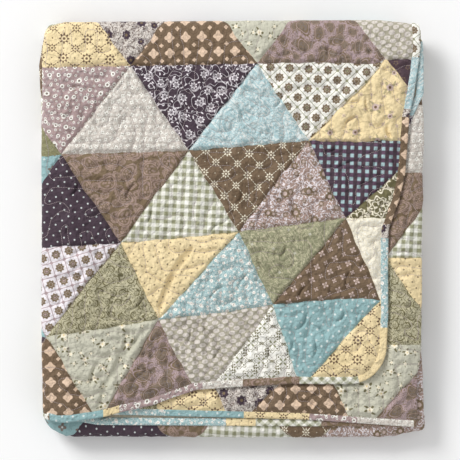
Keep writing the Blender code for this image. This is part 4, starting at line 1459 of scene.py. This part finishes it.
# Print: family, repeat in millimetres, turn in degrees, numbers of the family, and its four inks
PRINTS = {
    "yellow_lattice": ("lattice", 36.5, 2, (0.83, 0.185, 8, 0.24, 0.035, 0.05, 0.145, 0, 0.026, 0.028, 0),
                       ("yellow", "umber", "umber", "umber")),
    "yellow_dots": ("lattice", 15.6, 8, (1.1, 0.085, 4, 0, 0, 0, 0.085, 0, 0, 0, 0),
                    ("yellow", "cocoa", "cocoa", "cocoa")),
    "yellow_roses": ("bloom", 36, 8, (0.12, 5, 0.09, 0.05, 0.5, 0.6, 0.5, 0),
                     ("yellow", "blush", "umber", "olive")),
    "yellow_plain": ("tone", 30, 0, (0.05, 0.03), ("yellow", "straw", "cocoa", "yellow")),
    "plum_on_white": ("bloom", 28, 14, (0.22, 7, 0.12, 0.07, 0.35, 0, 0.45, 1),
                      ("pearl", "plum", "cocoa", "dusk")),
    "plum_vines": ("scroll", 24, 12, (3.4, 0.045, 0.20, 1.2, 0.6), ("plum", "lilac_white", "plum", "plum")),
    "plum_dots": ("lattice", 17, 12, (1, 0.08, 4, 0, 0, 0, 0.08, 0, 0, 0, 0),
                  ("plum", "mist", "mist", "mist")),
    "plum_plain": ("lattice", 20, 20, (1, 0.16, 5, 0.2, 0.04, 0.05, 0.06, 0, 0, 0, 0),
                   ("dark_plum", "cocoa", "dark_plum", "cocoa")),
    "plum_check": ("check", 12.1, 2, (0.27,), ("teal_mist", "plum", "dark_plum", "violet")),
    "peach_crosses": ("lattice", 25.4, -2, (0.95, 0.265, 4, 0.18, 0, 0, 0.11, 0.30, 0, 0, 0),
                      ("brown", "peach", "deep_brown", "peach")),
    "brown_crosses": ("lattice", 22, 20, (1, 0.17, 4, 0.4, 0.02, 0.03, 0.12, 0, 0, 0, 0),
                      ("brown", "blush", "brown", "blush")),
    "brown_lattice": ("lattice", 34, 4, (1, 0.15, 8, 0.32, 0.03, 0.04, 0.13, 0, 0.020, 0.02, 0),
                      ("brown", "cream", "cream", "cream")),
    "brown_stars": ("lattice", 30, 3, (1, 0.215, 8, 0.13, 0.0, 0.05, 0.215, 0, 0, 0.075, 0.022),
                    ("white", "cocoa", "leaf", "cocoa")),
    "lilac_stars": ("lattice", 30, 28, (1, 0.215, 8, 0.13, 0.0, 0.05, 0.215, 0, 0, 0.08, 0.028),
                    ("lilac_white", "cocoa", "mauve", "cocoa")),
    "sage_sprigs": ("bloom", 34, 11, (0.12, 5, 0.12, 0.035, 0.6, 1, 0.8, 0),
                    ("sage", "cream", "straw", "deep_olive")),
    "mauve_paisley": ("paisley", 33, 18, (0.27,), ("mauve", "cocoa", "dusk", "cocoa")),
    "brown_paisley": ("paisley", 32, -20, (0.34,), ("cocoa", "dusty", "cocoa", "brown")),
    "mauve_rings": ("bloom", 15, 9, (0.22, 6, 0.04, 0.10, 0.40, 0, 0.8, 0.9),
                    ("mauve", "white", "dusk", "dusty")),
    "beige_petals": ("lattice", 16, -8, (0.80, 0.25, 2, 0.22, 0, 0.05, 0.25, 0, 0.02, 0, 0),
                     ("stone", "pearl", "stone", "pearl")),
    "pale_speckle": ("bloom", 10, 0, (0.24, 4, 0.3, 0.08, 0.4, 0, 0.6, 0.6),
                     ("pearl", "white", "taupe", "taupe")),
    "green_ornament": ("ornament", 34, 2, (0.016,), ("white", "deep_olive", "leaf", "leaf")),
    "olive_ornament": ("ornament", 40, 30, (0.030,), ("deep_olive", "cream", "olive", "cream")),
    "olive_scrolls": ("scroll", 18, 0, (5.0, 0.12, 0.16, 2.6, 1),
                      ("pale_olive", "deep_olive", "pale_olive", "olive")),
    "olive_plain": ("tone", 20, 0, (0.14, 0.06), ("olive", "leaf", "leaf", "olive")),
    "teal_dots": ("lattice", 17, 5, (1, 0.10, 4, 0, 0, 0, 0.10, 0, 0, 0, 0),
                  ("teal", "mist", "mist", "mist")),
    "teal_rings": ("bloom", 14, 15, (0.19, 6, 0.05, 0.06, 0.45, 0, 0.8, 0.9),
                   ("teal", "white", "blush", "mist")),
    "teal_crosses": ("lattice", 28, 10, (1, 0.18, 4, 0.35, 0, 0.05, 0.05, 0, 0, 0, 0),
                     ("teal", "dusk", "mist", "mist")),
    "light_teal": ("tone", 30, 0, (0.20, 0.05), ("teal_mist", "mist", "mist", "mist")),
    "lilac_blooms": ("bloom", 36, 5, (0.20, 8, 0.12, 0.09, 0.45, 0, 0.8, 0.85),
                     ("dusty", "cocoa", "blush", "lilac_white")),
    "sage_leaves": ("tone", 34, 12, (0.17, 0.06), ("leaf", "pale_olive", "sage", "sage")),
    "green_check": ("check", 12.4, 3, (0.25,), ("white", "leaf", "pale_leaf", "pale_leaf")),
    "green_bias": ("check", 12.4, 45, (0.25,), ("white", "leaf", "pale_leaf", "pale_leaf")),
    "cream_plain": ("tone", 24, 0, (0.10, 0.04), ("cream", "white", "white", "cream")),
    "lining": ("tone", 30, 0, (0.04, 0.02), ("taupe", "stone", "taupe", "taupe")),
}


def finish_material(tree, place, colour):
    """Joins a colour to the cloth's finish and the shader."""
    shader = tree.nodes["Principled BSDF"]
    finish = tree.nodes.new("ShaderNodeGroup")
    finish.node_tree = finish_group()
    tree.links.new(place, finish.inputs["Place"])
    tree.links.new(colour, finish.inputs["Color"])
    tree.links.new(finish.outputs["Color"], shader.inputs["Base Color"])
    tree.links.new(finish.outputs["Roughness"], shader.inputs["Roughness"])
    pucker = tree.nodes.new("ShaderNodeBump")
    pucker.inputs["Distance"].default_value = PUCKER_DEPTH
    pucker.inputs["Strength"].default_value = 1.0
    tree.links.new(finish.outputs["Puckers"], pucker.inputs["Height"])
    weave = tree.nodes.new("ShaderNodeBump")
    weave.inputs["Distance"].default_value = WEAVE_DEPTH
    weave.inputs["Strength"].default_value = 0.5
    tree.links.new(finish.outputs["Threads"], weave.inputs["Height"])
    tree.links.new(pucker.outputs["Normal"], weave.inputs["Normal"])
    tree.links.new(weave.outputs["Normal"], shader.inputs["Normal"])
    shader.inputs["Specular IOR Level"].default_value = 0.2
    shader.inputs["Sheen Weight"].default_value = 0.12
    shader.inputs["Sheen Roughness"].default_value = 0.5


def cloth_material(name):
    """A new material with its node tree, and the flat places of the cloth."""
    material = bpy.data.materials.new(name)
    material.use_nodes = True
    places = material.node_tree.nodes.new("ShaderNodeUVMap")
    places.uv_map = "cloth"
    return material, material.node_tree, places.outputs[0]


def print_material(name):
    """The printed cotton of that name, made once."""
    if name in bpy.data.materials:
        return bpy.data.materials[name]
    family, repeat, turn, numbers, inks = PRINTS[name]
    material, tree, places = cloth_material(name)
    group = tree.nodes.new("ShaderNodeGroup")
    group.node_tree = family_group(family)
    tree.links.new(places, group.inputs["Place"])
    group.inputs["Repeat"].default_value = repeat * MILLI
    group.inputs["Turn"].default_value = math.radians(turn)
    for title, value in zip(FAMILIES[family][1], numbers):
        group.inputs[title].default_value = value
    for title, colour in zip(INKS, inks):
        group.inputs[title].default_value = ink(colour)
    finish_material(tree, places, group.outputs["Color"])
    return material


def thread_material():
    """Pale cotton thread."""
    if "thread" in bpy.data.materials:
        return bpy.data.materials["thread"]
    material, tree, places = cloth_material("thread")
    tint = tree.nodes.new("ShaderNodeRGB")
    tint.outputs[0].default_value = ink("thread")
    finish_material(tree, places, tint.outputs[0])
    return material


def floor_material():
    """The pale floor."""
    material = bpy.data.materials.new("floor")
    material.use_nodes = True
    shader = material.node_tree.nodes["Principled BSDF"]
    shader.inputs["Base Color"].default_value = (*bpy.context.scene.quilt_stage.floor, 1.0)
    shader.inputs["Roughness"].default_value = 0.85
    shader.inputs["Specular IOR Level"].default_value = 0.1
    return material


# Stage
FLOOR_REACH = 6.0
FLOOR_HEIGHT = -0.0006
KEY_SIZE = 5.0
KEY_PLACE = (-7.2, 7.5, 6.5)
FILL_SIZE = 2.0
FILL_PLACE = (1.8, -1.6, 2.0)
SENSOR_WIDTH = 36.0     # millimetres
QUILT_TOP = 0.053

# Patches on each side of the middle in an even row
EVEN_PATCHES = 6


def linear(red, green, blue):
    """A screen colour of 0 to 255 as light."""
    def light(value):
        value /= 255.0
        return value / 12.92 if value <= 0.04045 else ((value + 0.055) / 1.055) ** 2.4

    return (light(red), light(green), light(blue))


def length_property(name, text, value):
    """A length of the quilt, in metres."""
    return bpy.props.FloatProperty(name=name, description=text, default=value, unit="LENGTH", precision=5)


def colour_property(name, text, *screen):
    """A colour, from its screen values of 0 to 255."""
    return bpy.props.FloatVectorProperty(
        name=name, description=text, default=linear(*screen), subtype="COLOR", size=3, min=0.0, max=1.0
    )


class QuiltSizes(bpy.types.PropertyGroup):
    """Sizes of the quilt's surface."""

    width: length_property("Width", "Width of the open quilt", 2.30)
    length: length_property("Length", "Length of the open quilt", 2.55)
    grid: length_property("Top grid", "Distance between the points of the top layer", 0.0021)
    side_grid: length_property("Side grid", "Distance between the points of the sides", 0.0045)
    puff: length_property("Puff", "Height of the filling between stitched lines", 0.0034)
    quilting_pitch: length_property("Quilting pitch", "Distance between stitched lines", 0.0195)
    wrinkle: length_property("Wrinkle", "Height of the fine wrinkles", 0.0020)
    lump: length_property("Lump", "Height of the broad lumps", 0.0017)
    crease: length_property("Crease", "Depth of the main creases", 0.0050)
    stitch: length_property("Stitch", "Length of a stitch", 0.0026)
    thread: length_property("Thread", "Width of the thread", 0.0009)
    binding_rise: length_property("Binding rise", "Height of the binding over the flap", 0.0014)
    binding_step: length_property("Binding step", "Distance between points along the binding", 0.0045)


class QuiltColours(bpy.types.PropertyGroup):
    """Inks and grounds of the printed cottons."""

    yellow: colour_property("Yellow", "Soft yellow ground", 238, 217, 170)
    straw: colour_property("Straw", "Deeper yellow", 226, 202, 146)
    plum: colour_property("Plum", "Plum ground and ink", 74, 60, 70)
    dark_plum: colour_property("Dark plum", "Deep plum", 84, 66, 74)
    violet: colour_property("Violet", "Plum band of the check", 98, 74, 94)
    teal: colour_property("Teal", "Teal ground", 148, 182, 184)
    dusk: colour_property("Dusk", "Grey brown ink", 128, 114, 106)
    teal_mist: colour_property("Teal mist", "Light teal", 172, 200, 204)
    mist: colour_property("Mist", "Pale blue grey ink", 218, 226, 224)
    sage: colour_property("Sage", "Pale sage ground", 198, 196, 178)
    mauve: colour_property("Mauve", "Mauve ground and ink", 176, 154, 156)
    blush: colour_property("Blush", "Pale pink brown", 206, 184, 176)
    brown: colour_property("Brown", "Warm brown ground", 120, 100, 79)
    deep_brown: colour_property("Deep brown", "Ring ink on brown", 100, 82, 64)
    cocoa: colour_property("Cocoa", "Olive brown", 126, 108, 84)
    umber: colour_property("Umber", "Dark brown ink", 112, 88, 68)
    peach: colour_property("Peach", "Peach ink", 226, 198, 172)
    taupe: colour_property("Taupe", "Grey brown ground", 166, 158, 140)
    olive: colour_property("Olive", "Olive ink", 136, 132, 96)
    deep_olive: colour_property("Deep olive", "Dark olive ink", 116, 110, 78)
    pale_olive: colour_property("Pale olive", "Light olive ground", 190, 184, 154)
    leaf: colour_property("Leaf", "Soft green", 150, 150, 120)
    pale_leaf: colour_property("Pale leaf", "Lightest green", 206, 206, 188)
    cream: colour_property("Cream", "Cream ground", 242, 234, 212)
    stone: colour_property("Stone", "Light grey brown", 174, 168, 149)
    dusty: colour_property("Dusty", "Brown with mauve", 166, 142, 132)
    pearl: colour_property("Pearl", "Grey white ground", 216, 208, 200)
    lilac_white: colour_property("Lilac white", "White with lilac", 236, 230, 234)
    white: colour_property("White", "Warm white", 244, 242, 234)
    thread: colour_property("Thread", "Quilting thread", 186, 172, 172)


class QuiltStage(bpy.types.PropertyGroup):
    """Floor and lamps."""

    floor: colour_property("Floor", "Pale floor", 250, 250, 250)
    lamp_power: bpy.props.FloatProperty(
        name="Lamp power", description="Power of the soft lamp", default=1190.0, unit="POWER"
    )
    fill_power: bpy.props.FloatProperty(
        name="Fill power", description="Power of the fill lamp", default=8.0, unit="POWER"
    )
    sky: bpy.props.FloatProperty(name="Sky", description="Strength of the white surroundings", default=0.58)
    camera_height: length_property("Camera height", "Height of the camera over the floor", 4.0)
    view_width: length_property("View width", "Width seen at the top of the quilt", 0.7176)
    view_x: length_property("View centre X", "Middle of the view, across", -0.0039)
    view_y: length_property("View centre Y", "Middle of the view, along", -0.0029)


def left_of(leg):
    """The line where the left fold of a run begins, as a function of y."""
    return lambda q: side_lines(run_of(np.full(np.shape(q), leg), q))[0]


def right_of(leg):
    """The line where the right fold of a run begins, as a function of y."""
    return lambda q: side_lines(run_of(np.full(np.shape(q), leg), q))[1]


def flap_edge(leg):
    """The bound edge of the flap's layer in a run, as a function of y."""
    return lambda q: side_lines(run_of(np.full(np.shape(q), leg), q))[3]


def along_flap(p):
    """Place of the near end's columns on the flap, at x."""
    left_line, _, _, edge = side_lines(0.0)
    return FLAP + part_of((p - left_line) / (edge - STEP_IN - left_line))


def flap_window(grid):
    """The top layer, with its left fold and the far fold."""
    def left(q):
        return left_of(RUN_1)(q) - WIDE_TURN + TURN_GAP

    def right(q):
        from_end = np.clip(CORNER_RADIUS - (q - ENDS[-1][1]), 0.0, CORNER_RADIUS - UNDER_BINDING)
        arc = np.sqrt((CORNER_RADIUS - UNDER_BINDING) ** 2 - from_end**2)
        return flap_edge(RUN_1)(q) - CORNER_RADIUS + arc

    def low(p):
        return look_up(ENDS, END_COLUMNS, "near_end", along_flap(p)) + UNDER_BINDING

    def high(p):
        return fold_lines(p)[0] + STRIP_TURN - FOLD_GAP

    def shown(p, q):
        rim = np.minimum(right(q) - p, q - low(p))
        turn = np.minimum(p - left(q), high(p) - q)
        bent = np.minimum(p - left(q) - WIDE_TURN, high(p) - STRIP_TURN - q)
        flat = FLAP_TURN_RELIEF + (1.0 - FLAP_TURN_RELIEF) * part_of(bent / FLAP_FADE)
        return part_of(rim / RIM_FADE) * part_of(turn / RIM_FADE) * flat

    return Window(FLAP, RUN_1, left, right, low, high, grid, shown)


def beyond_top(p, q):
    """How far a point of the third layer lies outside the layers over it."""
    _, _, under, flap = side_lines(run_of(np.full(np.shape(q), RUN_1), q))
    near = look_up(ENDS, END_COLUMNS, "near_end", along_flap(p))
    return np.maximum(p - np.maximum(under, flap), near - q)


def third_window(grid, strip):
    """The third layer where it shows, right of the flap or near it."""
    def left(q):
        fold, _, under, flap = side_lines(run_of(np.full(np.shape(q), RUN_1), q))
        return np.maximum(under, flap) - UNDER_FLAP if strip else fold + FOLD_GAP

    def right(q):
        return right_of(RUN_1)(q) + SMALL_TURN - TURN_GAP

    def low(p):
        left_line, right_line, _, _ = side_lines(0.0)
        share = part_of((p - left_line) / (right_line - left_line))
        return look_up(ENDS, END_COLUMNS, "near_end", THIRD + share) + UNDER_BINDING

    def high(p):
        return fold_lines(p)[0] + STRIP_TURN - FOLD_GAP

    def shown(p, q):
        bent = np.minimum(right(q) - SMALL_TURN - p, high(p) - STRIP_TURN - q)
        outside = part_of((beyond_top(p, q) + COVERED) / THIRD_RIM_FADE)
        outside = outside * part_of((q - low(p)) / THIRD_RIM_FADE)
        return outside * (THIRD_TURN_RELIEF + THIRD_FLAT_RELIEF * part_of(bent / THIRD_FADE))

    return Window(THIRD, RUN_1, left, right, low, high, grid, shown, 1.0, RAISE_BESIDE)


def run_window(layer, leg, left, right, low, high, grid, shown, raised, lies=RAISE_BESIDE):
    """A part of a run between lines that are numbers or functions."""
    def as_curve(line):
        return line if callable(line) else (lambda at: np.full(np.shape(at), line))

    lines = [as_curve(line) for line in (left, right, low, high)]
    return Window(layer, leg, *lines, grid, shown, raised, lies)


def left_side_window(layer, leg, low, high, grid):
    """The cloth round the left fold of a run."""
    line = left_of(leg)

    def shown(p, q):
        return part_of((line(q) - p) / SIDE_FADE) * part_of((p - line(q) + WIDE_TURN) / SIDE_FADE)

    return run_window(
        layer, leg, lambda q: line(q) - WIDE_TURN + TURN_GAP, lambda q: line(q) + PAST_LEFT_FOLD,
        low, high, grid, shown, LEFT_RELIEF,
    )


def right_side_window(layer, leg, low, high, grid):
    """The cloth round the right fold of a run."""
    line = right_of(leg)
    return run_window(
        layer, leg, lambda q: line(q) - UNDER_FLAP, lambda q: line(q) + SMALL_TURN - TURN_GAP,
        low, high, grid, lambda p, q: part_of((p - line(q)) / RIGHT_FADE), RIGHT_RELIEF,
    )


def near_fold_window(grid):
    """The second run, round its fold at the near side."""
    return run_window(
        BOTTOM, RUN_2, lambda q: left_of(RUN_2)(q) - WIDE_TURN + TURN_GAP,
        lambda q: right_of(RUN_2)(q) + SMALL_TURN - TURN_GAP,
        lambda p: fold_lines(p)[1] - STRIP_TURN + FOLD_GAP, NEAR_FOLD_TOP, grid * NEAR_FOLD_GRID,
        lambda p, q: part_of((NEAR_RELIEF_START - q) / RIM_FADE), NEAR_RELIEF,
    )


def far_fold_window(grid):
    """The third run, round its fold at the far side."""
    first, last = FAR_RELIEF_RANGE
    return run_window(
        FLAP, RUN_3, lambda q: left_of(RUN_3)(q) - WIDE_TURN + TURN_GAP,
        lambda q: flap_edge(RUN_3)(q) - UNDER_BINDING, FAR_FOLD_START,
        lambda p: fold_lines(p)[2] + STRIP_TURN - FOLD_GAP, grid,
        lambda p, q: part_of((q - first) / FAR_FADE) * part_of((last - q) / FAR_FADE), FAR_RELIEF,
    )


def under_face_window(grid):
    """The patchwork on the underside of the lowest run, pressed flat."""
    return run_window(
        FLAP, RUN_4, left_of(RUN_4), lambda q: flap_edge(RUN_4)(q) - CORNER_RADIUS * 0.4, *UNDER_FACE_ENDS,
        grid * UNDER_FACE_GRID, lambda p, q: np.zeros(np.shape(p)), 0.0, RAISE_BELOW,
    )


def low_line(leg):
    """Where the side patches of a run start."""
    return {RUN_2: NEAR_FOLD_TOP, RUN_3: lambda p: fold_lines(p)[1], RUN_4: LOWEST_START}[leg]


def high_line(leg):
    """Where the side patches of a run end."""
    fold = 0 if leg == RUN_2 else 2
    return lambda p: fold_lines(p)[fold]


def even_rows(low, high, start, shift, cycles=CYCLES):
    """Rows of triangles of one size between two heights."""
    rows = []
    count = max(1, math.ceil((high - low) / ROW_HEIGHT))
    for n in range(count):
        below = "end" if n == 0 else (low + n * ROW_HEIGHT) / MILLI
        above = "end" if n == count - 1 else (low + (n + 1) * ROW_HEIGHT) / MILLI
        cycle = cycles[(start + n) % len(cycles)]
        cuts = []
        for k in range(-EVEN_PATCHES, EVEN_PATCHES + 1):
            corner = (k + 0.5 * (n % 2)) * PATCH_BASE + shift
            base, tip = corner / MILLI, (corner + PATCH_BASE / 2) / MILLI
            cuts += [(base, tip, 0), (base + PATCH_BASE / MILLI, tip, 0)]
        prints = [cycle[(k + 3 * n + start) % len(cycle)] for k in range(len(cuts) + 1)]
        rows.append((f"row_{n}", below, above, tuple(cuts), tuple(prints)))
    return rows


def add_top(grid, quilting):
    """The rows of the flap, the strips beside it and the near fold."""
    top = flap_window(grid)
    for number, row in enumerate(FLAP_ROWS):
        rows_object(row[0], top, [row], quilting, number)
    rows_object("right_strip", third_window(grid, True), RIGHT_ROWS, quilting, 11)
    rows_object("near_strip", third_window(grid, False), NEAR_ROWS, quilting, 17)
    rows_object("near_fold", near_fold_window(grid), NEAR_FOLD_ROWS, quilting, 19)


def add_sides(grid, quilting):
    """The folded sides of the runs under the top one."""
    for name, layer, leg, start in LEFT_SIDES:
        high = FAR_FOLD_START if leg == RUN_3 else high_line(leg)
        window = left_side_window(layer, leg, low_line(leg), high, grid)
        rows = even_rows(SIDE_STARTS[leg], SIDE_END, start, LEFT_SHIFT)
        rows_object(name, window, rows, quilting, 23)
    for name, layer, leg, start in RIGHT_SIDES:
        window = right_side_window(layer, leg, low_line(leg), high_line(leg), grid)
        cycles = RIGHT_CYCLES if leg == RUN_2 else CYCLES
        rows = even_rows(SIDE_STARTS[leg], SIDE_END, start, RIGHT_SHIFT, cycles)
        rows_object(name, window, rows, quilting, 29)


class QUILT_OT_sheet(bpy.types.Operator):
    """Add the whole sheet of the quilt, folded"""

    bl_idname = "quilt.sheet"
    bl_label = "Add sheet"

    def execute(self, context):
        item = sheet_object()
        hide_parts("quilt_cloth")
        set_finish(item, "quilt_cloth")
        return {"FINISHED"}


class QUILT_OT_patchwork(bpy.types.Operator):
    """Add the patches that show on the top, the strips beside it and the folds"""

    bl_idname = "quilt.patchwork"
    bl_label = "Add patchwork"

    def execute(self, context):
        sizes = context.scene.quilt_sizes
        quilting = Quilting(sizes)
        add_top(sizes.grid, quilting)
        add_sides(sizes.side_grid, quilting)
        far = far_fold_window(sizes.side_grid)
        rows_object("far_fold", far, even_rows(FAR_FOLD_START, FAR_FOLD_END, 2, 0.0), quilting, 31)
        under = under_face_window(sizes.side_grid)
        rows_object("under_face", under, even_rows(*UNDER_FACE_ENDS, 1, UNDER_FACE_SHIFT), quilting, 37)
        return {"FINISHED"}


class QUILT_OT_binding(bpy.types.Operator):
    """Add the binding that is sewn round the edge"""

    bl_idname = "quilt.binding"
    bl_label = "Add binding"

    def execute(self, context):
        for item in binding_objects(context.scene.quilt_sizes):
            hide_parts("edge_binding")
            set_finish(item, "edge_binding")
        return {"FINISHED"}


class QUILT_OT_stitching(bpy.types.Operator):
    """Add the quilting stitches where the cloth shows"""

    bl_idname = "quilt.stitching"
    bl_label = "Add stitching"

    def execute(self, context):
        sizes = context.scene.quilt_sizes
        quilting = Quilting(sizes)
        middles = evenly(quilting.line, sizes.stitch * STITCH_PITCH)
        ways = np.roll(middles, -1, axis=0) - middles
        ways /= np.linalg.norm(ways, axis=1)[:, None]
        p, q = middles[:, 0], middles[:, 1]
        reach = sizes.grid / 2
        height = quilting.height(p - ways[:, 1] * reach, q + ways[:, 0] * reach) / 2
        height += quilting.height(p + ways[:, 1] * reach, q - ways[:, 0] * reach) / 2
        top = flap_window(sizes.grid)
        inside = (p > top.left(q) + THREAD_CLEAR) & (p < top.right(q) - RIM_CLEAR)
        inside &= (q > top.low(p) + RIM_CLEAR) & (q < fold_lines(p)[0] + THREAD_PAST_FOLD)
        third = third_window(sizes.grid, False)
        beside = (beyond_top(p, q) > THREAD_CLEAR) & (q > third.low(p) + RIM_CLEAR)
        beside &= (p < third.right(q) - THREAD_CLEAR) & (p > third.left(q))
        beside &= q < fold_lines(p)[0] + EDGE_PAST_FOLD
        for name, window, at in (
            ("quilting_thread_top", top, inside),
            ("quilting_thread_edge", third, beside),
        ):
            stitches_object(name, window, middles[at], ways[at], sizes.stitch, sizes.thread, height[at])
        return {"FINISHED"}


class QUILT_OT_stage(bpy.types.Operator):
    """Add the floor, lamps and camera"""

    bl_idname = "quilt.stage"
    bl_label = "Add stage"

    def execute(self, context):
        stage = context.scene.quilt_stage
        mesh = bpy.data.meshes.new("floor")
        signs = ((-1, -1), (1, -1), (1, 1), (-1, 1))
        corners = [(x * FLOOR_REACH, y * FLOOR_REACH, FLOOR_HEIGHT) for x, y in signs]
        mesh.from_pydata(corners, [], [(0, 1, 2, 3)])
        mesh.materials.append(floor_material())
        floor = bpy.data.objects.new("floor", mesh)
        context.scene.collection.objects.link(floor)
        for name, power, size, place in (
            ("key", stage.lamp_power, KEY_SIZE, KEY_PLACE),
            ("fill", stage.fill_power, FILL_SIZE, FILL_PLACE),
        ):
            lamp = bpy.data.lights.new(name, "AREA")
            lamp.energy = power
            lamp.size = size
            item = bpy.data.objects.new(name, lamp)
            item.location = place
            item.rotation_euler = (-Vector(place)).to_track_quat("-Z", "Y").to_euler()
            context.scene.collection.objects.link(item)
        world = bpy.data.worlds.new("surroundings")
        world.use_nodes = True
        sky = world.node_tree.nodes["Background"]
        sky.inputs["Color"].default_value = (1.0, 1.0, 1.0, 1.0)
        sky.inputs["Strength"].default_value = stage.sky
        context.scene.world = world
        context.scene.view_settings.view_transform = "Standard"
        camera = bpy.data.cameras.new("camera")
        camera.sensor_width = SENSOR_WIDTH
        camera.lens = SENSOR_WIDTH * (stage.camera_height - QUILT_TOP) / stage.view_width
        item = bpy.data.objects.new("camera", camera)
        item.location = (stage.view_x, stage.view_y, stage.camera_height)
        context.scene.collection.objects.link(item)
        context.scene.camera = item
        return {"FINISHED"}


class QUILT_PT_panel(bpy.types.Panel):
    """Buttons of the quilt"""

    bl_idname = "QUILT_PT_panel"
    bl_label = "Folded quilt"
    bl_space_type = "VIEW_3D"
    bl_region_type = "UI"
    bl_category = "Quilt"

    def draw(self, context):
        for group in (context.scene.quilt_sizes, context.scene.quilt_colours, context.scene.quilt_stage):
            box = self.layout.box()
            for name in group.bl_rna.properties.keys():
                if name not in ("rna_type", "name"):
                    box.prop(group, name)
        for operator in OPERATORS:
            self.layout.operator(operator.bl_idname)


OPERATORS = (QUILT_OT_sheet, QUILT_OT_patchwork, QUILT_OT_binding, QUILT_OT_stitching, QUILT_OT_stage)
CLASSES = (QuiltSizes, QuiltColours, QuiltStage, *OPERATORS, QUILT_PT_panel)


def register():
    """Makes the quilt's panel, buttons and settings known."""
    for item in CLASSES:
        bpy.utils.register_class(item)
    bpy.types.Scene.quilt_sizes = bpy.props.PointerProperty(type=QuiltSizes)
    bpy.types.Scene.quilt_colours = bpy.props.PointerProperty(type=QuiltColours)
    bpy.types.Scene.quilt_stage = bpy.props.PointerProperty(type=QuiltStage)


def unregister():
    """Takes them away again."""
    del bpy.types.Scene.quilt_stage
    del bpy.types.Scene.quilt_colours
    del bpy.types.Scene.quilt_sizes
    for item in reversed(CLASSES):
        bpy.utils.unregister_class(item)


def declare():
    """Gives the quilt_cloth finish to every piece on the quilt's body that has no finish of its own."""
    sheet = bpy.data.objects["quilt_sheet"]
    for item in bpy.context.scene.objects:
        if item.type == "MESH" and item.get("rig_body") and item != sheet:
            if "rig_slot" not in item:
                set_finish(item, "quilt_cloth")


def main():
    """Builds the quilt."""
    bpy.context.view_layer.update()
    register()
    bpy.ops.quilt.sheet()
    bpy.ops.quilt.patchwork()
    bpy.ops.quilt.binding()
    bpy.ops.quilt.stitching()
    bpy.ops.quilt.stage()
    declare()
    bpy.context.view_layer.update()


if __name__ == "__main__":
    main()
